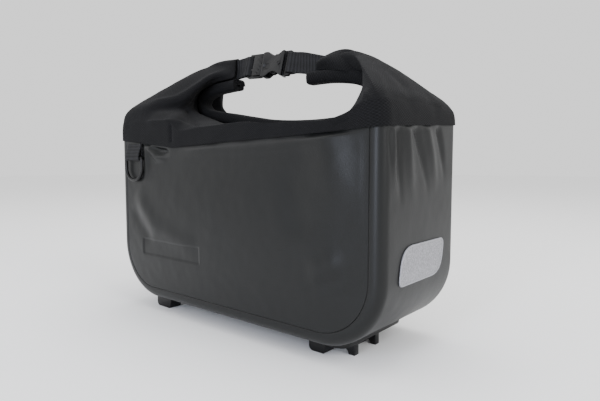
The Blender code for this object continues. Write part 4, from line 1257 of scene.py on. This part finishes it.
def tube(name: str, points: Sequence[Vector], radius: float, sides: int, closed: bool
         ) -> bpy.types.Object:
    """Model a round wire along a line of points, its ends closed with a dome of two rings.

    Args:
        name: the piece's name.
        points: the wire's middle line.
        radius: half the wire's thickness.
        sides: faces round the wire.
        closed: whether the line returns to its start.

    Returns:
        The finished wire.
    """
    count = len(points)
    stations: list[tuple[Vector, Vector, float]] = []
    for number, point in enumerate(points):
        before = points[(number - 1) % count] if closed or number else point
        after = points[(number + 1) % count] if closed or number < count - 1 else point
        stations.append((point, (after - before).normalized(), radius))
    if closed:
        stations.append(stations[0])
    else:
        first, last = stations[0], stations[-1]
        stations.insert(0, (first[0] - first[1] * radius * 0.6, first[1], radius * 0.7))
        stations.insert(0, (stations[0][0] - first[1] * radius * 0.25, first[1], 0.0))
        stations.append((last[0] + last[1] * radius * 0.6, last[1], radius * 0.7))
        stations.append((stations[-1][0] + last[1] * radius * 0.25, last[1], 0.0))

    def place(u: float, v: float) -> Vector:
        """Return a grid place as a point on the wire.

        Args:
            u: share along the wire.
            v: share round it.

        Returns:
            The point.
        """
        point, way, wide = stations[round(u * (len(stations) - 1))]
        across = way.cross(Vector((0, 1, 0)))
        side = (way.orthogonal() if abs(way.y) > 0.9 else across).normalized()
        up = way.cross(side)
        return point + (side * math.cos(v * 2 * math.pi) + up * math.sin(v * 2 * math.pi)) * wide

    piece = sheet(name, len(stations) - 1, sides, place, 0.0)
    weld(piece)
    return piece


def weld(piece: bpy.types.Object) -> None:
    """Merge a piece's touching vertices and turn its faces outwards.

    Args:
        piece: the piece to work on.
    """
    activate(piece)
    bpy.ops.object.mode_set(mode="EDIT")
    bpy.ops.mesh.select_all(action="SELECT")
    bpy.ops.mesh.remove_doubles(threshold=MERGE)
    bpy.ops.mesh.normals_make_consistent(inside=False)
    bpy.ops.object.mode_set(mode="OBJECT")


def rounded_outline(corners: Outline, radii: Sequence[float], steps: int = 8) -> Outline:
    """Round an outline's corners with quadratic curves.

    Args:
        corners: the outline's corners in order.
        radii: how far each rounding reaches along its sides.
        steps: steps in each rounding.

    Returns:
        The rounded outline.
    """
    points: Outline = []
    for number, (corner, radius) in enumerate(zip(corners, radii)):
        middle, before = Vector(corner), Vector(corners[number - 1])
        after = Vector(corners[(number + 1) % len(corners)])
        first = middle + (before - middle).normalized() * radius
        last = middle + (after - middle).normalized() * radius
        for step in range(steps + 1):
            share = step / steps
            point = first.lerp(middle, share).lerp(middle.lerp(last, share), share)
            points.append((point.x, point.y))
    return points


def slab(name: str, outline: Outline, half: float) -> bpy.types.Object:
    """Model a flat plate from an outline in X and Z, lying along Y.

    Args:
        name: the piece's name.
        outline: its corners in order.
        half: half its thickness.

    Returns:
        The plate.
    """
    deselect()
    bpy.ops.mesh.primitive_circle_add(vertices=len(outline), radius=1.0, fill_type="NGON")
    piece = bpy.context.object
    piece.name = piece.data.name = name
    for vertex, (across, up) in zip(piece.data.vertices, outline):
        vertex.co = Vector((across, -half, up))
    bpy.ops.object.mode_set(mode="EDIT")
    bpy.ops.mesh.select_all(action="SELECT")
    bpy.ops.mesh.extrude_region_move(TRANSFORM_OT_translate={"value": (0, 2 * half, 0)})
    bpy.ops.object.mode_set(mode="OBJECT")
    weld(piece)
    return piece


def block(name: str, low: Point, high: Point) -> bpy.types.Object:
    """Model a box between two corners.

    Args:
        name: the piece's name.
        low: its lowest corner.
        high: its highest corner.

    Returns:
        The box.
    """
    deselect()
    bpy.ops.mesh.primitive_cube_add(size=1.0)
    piece = bpy.context.object
    piece.name = piece.data.name = name
    for vertex in piece.data.vertices:
        vertex.co = Vector([lerp(a, b, part + 0.5) for a, b, part in zip(low, high, vertex.co)])
    return piece


def boolean(piece: bpy.types.Object, other: bpy.types.Object, operation: str) -> None:
    """Join another piece to one, or cut it out, and remove the other.

    Args:
        piece: the piece to work on.
        other: what is joined or cut out.
        operation: UNION or DIFFERENCE.
    """
    step = piece.modifiers.new(operation, "BOOLEAN")
    step.operation = operation
    step.object = other
    apply_all(piece)
    bpy.data.objects.remove(other, do_unlink=True)


def moved(piece: bpy.types.Object, place: Matrix) -> bpy.types.Object:
    """Put a piece in its place within its mesh.

    Args:
        piece: the piece to work on.
        place: where its mesh goes.

    Returns:
        The same piece.
    """
    piece.data.transform(place)
    piece.data.update()
    return piece


def mirror_low(upper: Outline) -> Outline:
    """Complete an outline given from left to right above its middle line."""
    return upper + [(across, -up) for across, up in reversed(upper)]


@dataclass(frozen=True)
class Buckle:
    """The side-release buckle at the top of the handle."""

    height: float = 0.2429
    lean: float = 12.0
    dip: float = 3.2
    width: float = 0.025
    depth: float = 0.0085
    frame: float = 0.0030
    left: float = -0.026
    mouth: float = -0.005
    right: float = 0.031
    bar: float = 0.0026
    slot: float = 0.0044

    @property
    def placing(self) -> Matrix:
        """The buckle's place: leaning back at the top of the handle."""
        return (Matrix.Translation((0, 0, S.foot + self.height))
                @ Matrix.Rotation(math.radians(self.dip), 4, "Y")
                @ Matrix.Rotation(math.radians(-self.lean), 4, "X"))

    def slot_cutter(self, left: float) -> bpy.types.Object:
        """Model what cuts a webbing slot whose left side is given.

        Args:
            left: the slot's left side.

        Returns:
            The cutter.
        """
        high = S.webbing / 2 + 0.0006
        return block("slot_cutter", (left, -0.02, -high), (left + self.slot, 0.02, high))

    def plug(self) -> bpy.types.Object:
        """Model the plug: ladder frame, ribbed pad, prongs and guide.

        Returns:
            The finished piece.
        """
        half, body = self.width / 2, self.mouth - S.gap
        prong, inner = half * 0.70, half * 0.52
        upper = [
            (self.left, half * 0.86), (self.left + 0.0006, half * 0.96), (self.left + 0.0015, half),
            (body - 0.004, half), (body - 0.0008, half * 0.97), (body, half * 0.90), (body, prong),
            (body + 0.013, prong), (body + 0.016, half * 0.85), (body + 0.0195, half * 0.72),
            (body + 0.021, half * 0.60), (body + 0.018, inner), (body + 0.002, inner),
            (body + 0.001, half * 0.16), (body + 0.015, half * 0.12)]
        piece = slab("buckle_plug", mirror_low(upper), self.frame / 2)
        boolean(piece, self.slot_cutter(self.left + self.bar), "DIFFERENCE")
        left = self.left + self.bar + self.slot + 0.0015
        deep = self.depth * 0.44
        boolean(piece, block("pad", (left, -deep, -half * 0.86), (body - 0.0002, deep, half * 0.86)),
                "UNION")
        turn = Matrix.Translation(((left + body) / 2, -deep, 0)) @ Matrix.Rotation(0.45, 4, "Y")
        for number in range(5):
            at = (number - 2) * 0.0036
            low, high = (-0.0046, -0.0004, at - 0.0007), (0.0046, 0.0006, at + 0.0007)
            rib = moved(block("grip_rib", low, high), turn)
            boolean(piece, rib, "UNION")
        rounded(piece, 0.00035, 2)
        return moved(piece, self.placing)

    def housing(self) -> bpy.types.Object:
        """Model the housing: waisted, crowned, hollow, with its window, boss and webbing bar.

        Returns:
            The finished piece.
        """
        half = self.width / 2
        back = self.right - self.bar - self.slot - 0.0010
        span = back - self.mouth
        knots = [Vector((self.mouth + span * at, half * high, 0)) for at, high in (
            (0.0, 0.93), (0.05, 0.99), (0.12, 1.0), (0.26, 0.97), (0.40, 0.76), (0.58, 0.66),
            (0.76, 0.76), (0.90, 0.97), (1.0, 1.0))]
        upper = [tuple(curve_at(knots, step / 3)[:2]) for step in range(3 * (len(knots) - 1) + 1)]
        piece = slab("buckle_housing", mirror_low(upper), self.depth / 2)
        rounded(piece, 0.0016, 4, 50)
        left = back - span * 0.3
        frame = [(left, half * 0.7), (back - 0.001, half), (self.right - 0.0015, half),
                 (self.right - 0.0004, half * 0.95), (self.right, half * 0.86)]
        loop = slab("housing_frame", mirror_low(frame), self.frame / 2)
        boolean(loop, self.slot_cutter(self.right - self.bar - self.slot), "DIFFERENCE")
        boolean(piece, loop, "UNION")
        high, deep = half * 0.76, self.frame / 2 + 0.0005
        boolean(piece, block("pocket", (self.mouth - 0.002, -deep, -high),
                             (self.mouth + span * 0.90, deep, high)), "DIFFERENCE")
        bpy.ops.mesh.primitive_uv_sphere_add(segments=40, ring_count=20, radius=0.0052)
        dent = bpy.context.object
        moved(dent, Matrix.Translation((self.mouth + span * 0.24, -self.depth / 2 - 0.0032, -half * 0.2))
              @ Matrix.Diagonal((1.25, 0.85, 1.0, 1.0)))
        boolean(piece, dent, "DIFFERENCE")
        boss = slab("boss", [(0.0021 * math.cos(turn), 0.0021 * math.sin(turn))
                             for turn in (math.pi * step / 16 for step in range(32))], 0.0005)
        boolean(piece, moved(boss, Matrix.Translation((back - 0.0052, -self.depth / 2, 0.0))), "UNION")
        rounded(piece, 0.0003, 2)
        return moved(piece, self.placing)

    def build(self) -> None:
        """Build and dress both halves."""
        finish_piece(self.plug(), PLASTIC, BAG, "buckle_male")
        finish_piece(self.housing(), PLASTIC, BAG, "buckle_female")
        middle, radius = self.right - self.bar - self.slot - 0.0062, 0.0016
        ring = [self.placing @ Vector((middle + radius * math.cos(turn), -self.depth / 2 - 0.0005,
                                       radius * math.sin(turn)))
                for turn in (math.pi * step / 16 for step in range(32))]
        finish_piece(tube("boss_ring", ring, 0.00028, 8, True), PLASTIC, BAG)


@dataclass(frozen=True)
class Straps:
    """The two webbing loops round the buckle's bars."""

    buckle: Buckle
    play: float = 0.0003
    left_end: float = -0.054
    right_end: float = 0.086
    tail_end: float = 0.053
    left_height: float = 0.2430
    right_height: float = 0.2338
    left_narrow: float = 0.92
    right_narrow: float = 0.57

    def path(self, bar: float, away: int, long_end: float, short_end: float) -> list[Vector]:
        """Return a loop's path round a bar.

        Args:
            bar: the bar's middle along the bag.
            away: which way both tails leave the bar, -1 to the left and 1 to the right.
            long_end: where the front tail ends.
            short_end: where the back tail ends.

        Returns:
            Points along the bag (x) and through it (y).
        """
        wrap = math.hypot(self.buckle.bar, self.buckle.frame) / 2 + self.play + S.webbing_thickness / 2
        close = (S.webbing_thickness + self.play) / 2
        reach = bar + away * 0.010
        tails = []
        for end, side in ((long_end, -1), (short_end, 1)):
            tail = [Vector((lerp(end, reach, step / 16), side * close, 0)) for step in range(16)]
            tail += [Vector((lerp(reach, bar + away * 0.001, step / 12),
                             side * lerp(close, wrap, smooth(step / 12)), 0)) for step in range(13)]
            tails.append(tail)
        turn = [Vector((bar - away * wrap * math.sin(angle), -wrap * math.cos(angle), 0))
                for angle in (math.pi * step / 18 for step in range(1, 18))]
        return tails[0] + turn + tails[1][::-1]

    def strap(self, name: str, path: list[Vector], bar: float, narrow: float, end_height: float
              ) -> bpy.types.Object:
        """Model one loop of webbing.

        Args:
            name: the piece's name.
            path: the loop's path.
            bar: the bar's middle along the bag.
            narrow: share of its width at its tucked end.
            end_height: height of that end over the shell's bottom.

        Returns:
            The finished piece.
        """
        far = max(abs(point.x - bar) for point in path)
        placing = self.buckle.placing
        bar_height = (placing @ Vector((bar, 0, 0))).z
        runs = [0.0]
        for first, second in zip(path, path[1:]):
            runs.append(runs[-1] + (second - first).length)

        def place(u: float, v: float) -> Vector:
            """Return a grid place as a point on the loop.

            Args:
                u: share along the loop.
                v: share across it.

            Returns:
                The point.
            """
            point = path[round(u * (len(path) - 1))]
            away = abs(point.x - bar)
            tucked = clamp((away / far - 0.35) / 0.5)
            up = (v - 0.5) * S.webbing
            middle = lerp(bar_height, S.foot + end_height, away / far)
            free = Vector((point.x, point.y, middle + up * lerp(1.0, narrow, tucked)))
            return (placing @ Vector((point.x, point.y, up))).lerp(free, clamp((away - 0.003) / 0.016))

        def chart(u: float, v: float) -> tuple[float, float]:
            """Return a grid place on the webbing, in metres."""
            return v * S.webbing, runs[round(u * (len(path) - 1))]

        piece = sheet(name, len(path) - 1, 20, place, S.webbing_thickness, 0.0, chart=chart)
        apply_all(piece)
        return piece

    def build(self) -> None:
        """Build and dress both loops."""
        bar = self.buckle.left + self.buckle.bar / 2
        left = self.path(bar, -1, self.left_end, self.left_end + 0.003)
        finish_piece(self.strap("webbing_left", left, bar, self.left_narrow, self.left_height),
                     WEBBING, BAG, "strap_left")
        bar = self.buckle.right - self.buckle.bar / 2
        right = self.path(bar, 1, self.right_end, self.tail_end)
        finish_piece(self.strap("webbing_right", right, bar, self.right_narrow, self.right_height),
                     WEBBING, BAG, "strap_right")


@dataclass(frozen=True)
class CarryRing:
    """The D-shaped ring and the webbing that holds its bar."""

    shell: Shell
    from_end: float = 0.0315
    below_hem: float = 0.020
    wire: float = 0.0034
    drop: float = 0.0275
    band: float = 0.025
    thickness: float = 0.0011
    play: float = 0.0002
    side_play: float = 0.0008
    stand: float = 0.0004

    @property
    def axis(self) -> Vector:
        """The middle of the ring's bar."""
        stack = self.stand + self.thickness + self.play + self.wire / 2
        return Vector((self.from_end - S.half_length, -S.half_width - stack,
                       S.foot + S.hem - self.below_hem))

    def ring(self) -> bpy.types.Object:
        """Model the ring.

        Returns:
            The finished piece.
        """
        half = self.band / 2 + self.side_play + self.wire / 2
        straight = self.drop - self.wire - half * 0.86
        round_in = half - self.band / 2
        knots = [(-half + round_in, 0.0), (0.0, 0.0), (half - round_in, 0.0),
                 (half - round_in * 0.3, -round_in * 0.3), (half, -round_in),
                 (half, -straight * 0.6)]
        knots += [(half * math.cos(turn), -straight - half * 0.86 * math.sin(turn))
                  for turn in (math.pi * step / 28 for step in range(29))]
        knots += [(-half, -straight * 0.6), (-half, -round_in),
                  (-half + round_in * 0.3, -round_in * 0.3)]
        points = [self.axis + Vector((across, 0, up)) for across, up in knots]
        return tube("ring_wire", points, self.wire / 2, 20, True)

    def webbing(self) -> bpy.types.Object:
        """Model the webbing loop that hangs from under the hem.

        Returns:
            The finished piece.
        """
        axis = self.axis
        wrap = self.wire / 2 + self.play + self.thickness / 2
        hem = min(self.shell.hem_height(axis.x + side * self.band / 2, -S.half_width)
                  for side in (-1, 1))
        top, close = hem - S.gap, self.thickness + self.play
        path = [Vector((wrap, lerp(top, axis.z, step / 8), 0)) for step in range(8)]
        path += [Vector((wrap * math.cos(turn), axis.z - wrap * math.sin(turn), 0))
                 for turn in (math.pi * step / 20 for step in range(21))]
        path += [Vector((lerp(-wrap, wrap - close, smooth(step / 10)), lerp(axis.z, top, step / 10), 0))
                 for step in range(1, 11)]
        runs = [0.0]
        for first, second in zip(path, path[1:]):
            runs.append(runs[-1] + (second - first).length)

        def place(u: float, v: float) -> Vector:
            """Return a grid place as a point on the loop."""
            point = path[round(u * (len(path) - 1))]
            return Vector((axis.x + (v - 0.5) * self.band, axis.y + point.x, point.y))

        def chart(u: float, v: float) -> tuple[float, float]:
            """Return a grid place on the webbing, in metres."""
            return v * self.band, runs[round(u * (len(path) - 1))]

        piece = sheet("ring_loop", len(path) - 1, 24, place, self.thickness, 0.0, chart=chart)
        apply_all(piece)
        return piece

    def build(self) -> None:
        """Build and dress the ring and its webbing."""
        finish_piece(self.ring(), PLASTIC, RING, "d_ring")
        finish_piece(self.webbing(), WEBBING, BAG, "ring_webbing")


@dataclass(frozen=True)
class Patch:
    """The reflective patch on the right end, with its paler pressed rim."""

    width: float = 0.0735
    height: float = 0.0305
    low: float = 0.0515
    lean: float = 0.0055
    shift: float = -0.0010
    thickness: float = 0.0006
    wide: float = 0.0165
    tight: float = 0.0075

    def outline(self, inset: float) -> Outline:
        """Return the patch's outline, drawn in by inset.

        Args:
            inset: how far it is drawn in.

        Returns:
            The outline across and up the end.
        """
        half, low, top = self.width / 2 - inset, self.low + inset, self.low + self.height - inset
        corners = [(-half - self.lean / 2, low), (half - self.lean / 2, low),
                   (half + self.lean / 2, top), (-half + self.lean / 2, top)]
        radii = [self.tight - inset / 2, self.wide - inset / 2] * 2
        return rounded_outline(corners, radii, 12)

    def on_end(self, across: float, up: float, out: float) -> Vector:
        """Return a point on the right end, following the shell's rounded bottom corner.

        Args:
            across: place across the end.
            up: height over the shell's bottom.
            out: how far it stands out.

        Returns:
            The point.
        """
        below = max(0.0, S.corner - up)
        x = S.half_length - (S.corner - math.sqrt(S.corner ** 2 - below ** 2)) + out
        return Vector((x, self.shift + across, S.foot + up))

    def build(self) -> None:
        """Build and dress the film and its rim."""
        film = slab("reflective_sheet", self.outline(0.0), self.thickness / 2)
        activate(film)
        bpy.ops.object.mode_set(mode="EDIT")
        for step in range(1, 5):
            bpy.ops.mesh.select_all(action="SELECT")
            level = lerp(self.low, S.corner, step / 4)
            bpy.ops.mesh.bisect(plane_co=(0, 0, level), plane_no=(0, 0, 1))
        bpy.ops.object.mode_set(mode="OBJECT")
        for vertex in film.data.vertices:
            across, through, up = vertex.co
            vertex.co = self.on_end(across, up, S.gap + self.thickness / 2 - through)
        weld(film)
        finish_piece(film, FILM, BAG, "reflective_patch")
        rim = [self.on_end(across, up, S.gap + self.thickness) for across, up in self.outline(0.0007)]
        finish_piece(tube("reflective_rim", rim, 0.00045, 8, True), FILM_RIM, BAG)


@dataclass(frozen=True)
class Adapter:
    """The rack adapter: base plate, four hook feet and the latch housing."""

    plate_length: float = 0.256
    plate_width: float = 0.098
    plate: float = 0.0035
    hook_long: float = 0.026
    hook_short: float = 0.018
    hook_width: float = 0.014
    hook_round: float = 0.005
    row_inset: float = 0.0155
    row_taper: float = 0.90
    left_inset: float = 0.055
    to_latch: float = 0.029
    reach: float = 0.126
    length: float = 0.018
    left: float = -0.031
    right: float = 0.008
    rib: float = 0.006
    floor: float = 0.004

    @property
    def top(self) -> float:
        """Height of the plate's underside, less the gap."""
        return S.foot - 2 * S.gap - self.plate

    def base(self) -> bpy.types.Object:
        """Model the base plate.

        Returns:
            The finished piece.
        """
        half_length, half_width = self.plate_length / 2, self.plate_width / 2
        corners = [(-half_length, -half_width), (half_length, -half_width),
                   (half_length, half_width), (-half_length, half_width)]
        piece = slab("adapter_base", rounded_outline(corners, [0.012] * 4), self.plate / 2)
        rounded(piece, 0.0008, 3)
        return moved(piece, Matrix.Translation((0, 0, S.foot - S.gap - self.plate / 2))
                     @ Matrix.Rotation(math.radians(90), 4, "X"))

    def foot(self, name: str, x: float, y: float, length: float) -> bpy.types.Object:
        """Model one hook foot, rounded at its lower left and slanted on its right.

        Args:
            name: the piece's name.
            x: its middle along the bag.
            y: its middle across.
            length: its length.

        Returns:
            The finished piece.
        """
        slant, top = length * 0.12, self.top
        corners = [(length / 2 - slant, 0.0), (length / 2, top), (-length / 2, top), (-length / 2, 0.0)]
        outline = rounded_outline(corners, [0.0012, 0.0004, 0.0004, self.hook_round])
        piece = slab(name, outline, self.hook_width / 2)
        rounded(piece, 0.0008, 3)
        return moved(piece, Matrix.Translation((x, y, 0)))

    def latch(self) -> bpy.types.Object:
        """Model the latch: two curved gusset ribs with a sloping plate between them.

        Returns:
            The finished piece.
        """
        top, left, right = self.top, self.reach - self.length, self.reach
        piece = block("adapter_latch", (left, self.left + 0.001, self.floor),
                      (right - self.rib, self.right - 0.001, top))
        hollow = [Vector((right - self.rib, 0.0, 0)), Vector((right - self.rib - 0.0012, top * 0.30, 0)),
                  Vector((right - self.rib - 0.0052, top * 0.58, 0)), Vector((left, top * 0.70, 0))]
        slope = [(right, top), (right, 0.0)]
        slope += [tuple(curve_at(hollow, step / 4)[:2]) for step in range(13)]
        slope.append((left, top))
        for y in (self.left + self.rib / 2, self.right - self.rib / 2):
            boolean(piece, moved(slab("latch_rib", slope, self.rib / 2), Matrix.Translation((0, y, 0))),
                    "UNION")
        rounded(piece, 0.0006, 2)
        return piece

    def build(self) -> None:
        """Build and dress the adapter."""
        finish_piece(self.base(), PLASTIC, BAG, "adapter_plate")
        finish_piece(self.latch(), PLASTIC, BAG, "latch_housing")
        near = self.row_inset - S.half_width + self.hook_width / 2
        for side, facing in (("front", 1), ("back", -1)):
            y = facing * near
            left = self.foot(f"hook_{side}_left", self.left_inset - S.half_length, y, self.hook_long)
            finish_piece(left, PLASTIC, BAG, f"foot_{side}_left")
            right = self.foot(f"hook_{side}_right", self.reach - self.to_latch, y * self.row_taper,
                              self.hook_short)
            finish_piece(right, PLASTIC, BAG, f"foot_{side}_right")


@dataclass(frozen=True)
class Studio:
    """Pale floor, soft lights and the photograph's camera."""

    eye: Point = (0.343, -0.362, 0.1437 + S.foot)
    yaw: float = 0.6944
    pitch: float = 0.073
    focal: float = 488.38 / 600 * 36

    def camera(self) -> None:
        """Set up the camera at the photograph's angle."""
        deselect()
        bpy.ops.object.camera_add(location=self.eye,
                                  rotation=(math.pi / 2 - self.pitch, 0, self.yaw))
        camera = bpy.context.object
        camera.data.lens = self.focal
        camera.data.sensor_width = 36.0
        camera.data.clip_start = 0.01
        bpy.context.scene.camera = camera

    def lamp(self, name: str, at: Point, aim: Point, size: tuple[float, float], watts: float,
             tint: str) -> None:
        """Add a softbox at a point, aimed at another, with its width and height.

        Args:
            name: the lamp's name.
            at: where it stands.
            aim: what it is aimed at.
            size: its width and height.
            watts: its power.
            tint: its colour.
        """
        deselect()
        bpy.ops.object.light_add(type="AREA", location=at)
        lamp = bpy.context.object
        lamp.name = name
        lamp.data.shape = "RECTANGLE"
        lamp.data.size, lamp.data.size_y = size
        lamp.data.energy = watts
        lamp.data.color = srgb(tint)[:3]
        lamp.rotation_euler = (Vector(aim) - Vector(at)).to_track_quat("-Z", "Y").to_euler()

    def backdrop(self) -> None:
        """Add the floor and the pale surroundings."""
        deselect()
        bpy.ops.mesh.primitive_plane_add(size=14.0, location=(0, 0, 0))
        floor = bpy.context.object
        floor.name = "studio_floor"
        paper = bpy.data.materials.new("white_paper")
        paper.use_nodes = True
        shader = paper.node_tree.nodes["Principled BSDF"]
        shader.inputs["Base Color"].default_value = srgb("#fafafa")
        shader.inputs["Roughness"].default_value = 0.9
        floor.data.materials.append(paper)
        world = bpy.data.worlds.new("soft_white")
        world.use_nodes = True
        sky = world.node_tree.nodes["Background"]
        sky.inputs["Color"].default_value = srgb("#ffffff")
        sky.inputs["Strength"].default_value = 1.25
        bpy.context.scene.world = world

    def build(self) -> None:
        """Build the studio."""
        self.camera()
        self.backdrop()
        self.lamp("front_box", (0.22, -1.3, 0.40), (0.14, 0, 0.12), (0.26, 0.9), 14.0, "#dfe7fb")
        self.lamp("right_box", (1.5, -0.1, 0.9), (0.05, 0, 0.12), (0.8, 1.2), 15.0, "#ffffff")
        self.lamp("left_box", (-1.3, -1.1, 1.0), (-0.1, 0, 0.12), (1.0, 1.2), 4.5, "#fbfbff")
        self.lamp("top_box", (0.0, 0.3, 1.9), (0, 0, 0.2), (1.4, 1.2), 16.0, "#ffffff")


def main() -> None:
    """Build everything in order and report each piece."""
    logging.basicConfig(level=logging.INFO, format="%(name)s: %(message)s")
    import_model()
    studio = Studio()
    shell = Shell()
    shell.build()
    Collar(shell).build()
    buckle = Buckle()
    buckle.build()
    Straps(buckle).build()
    CarryRing(shell).build()
    Patch().build()
    Adapter().build()
    studio.build()


if __name__ == "__main__":
    main()
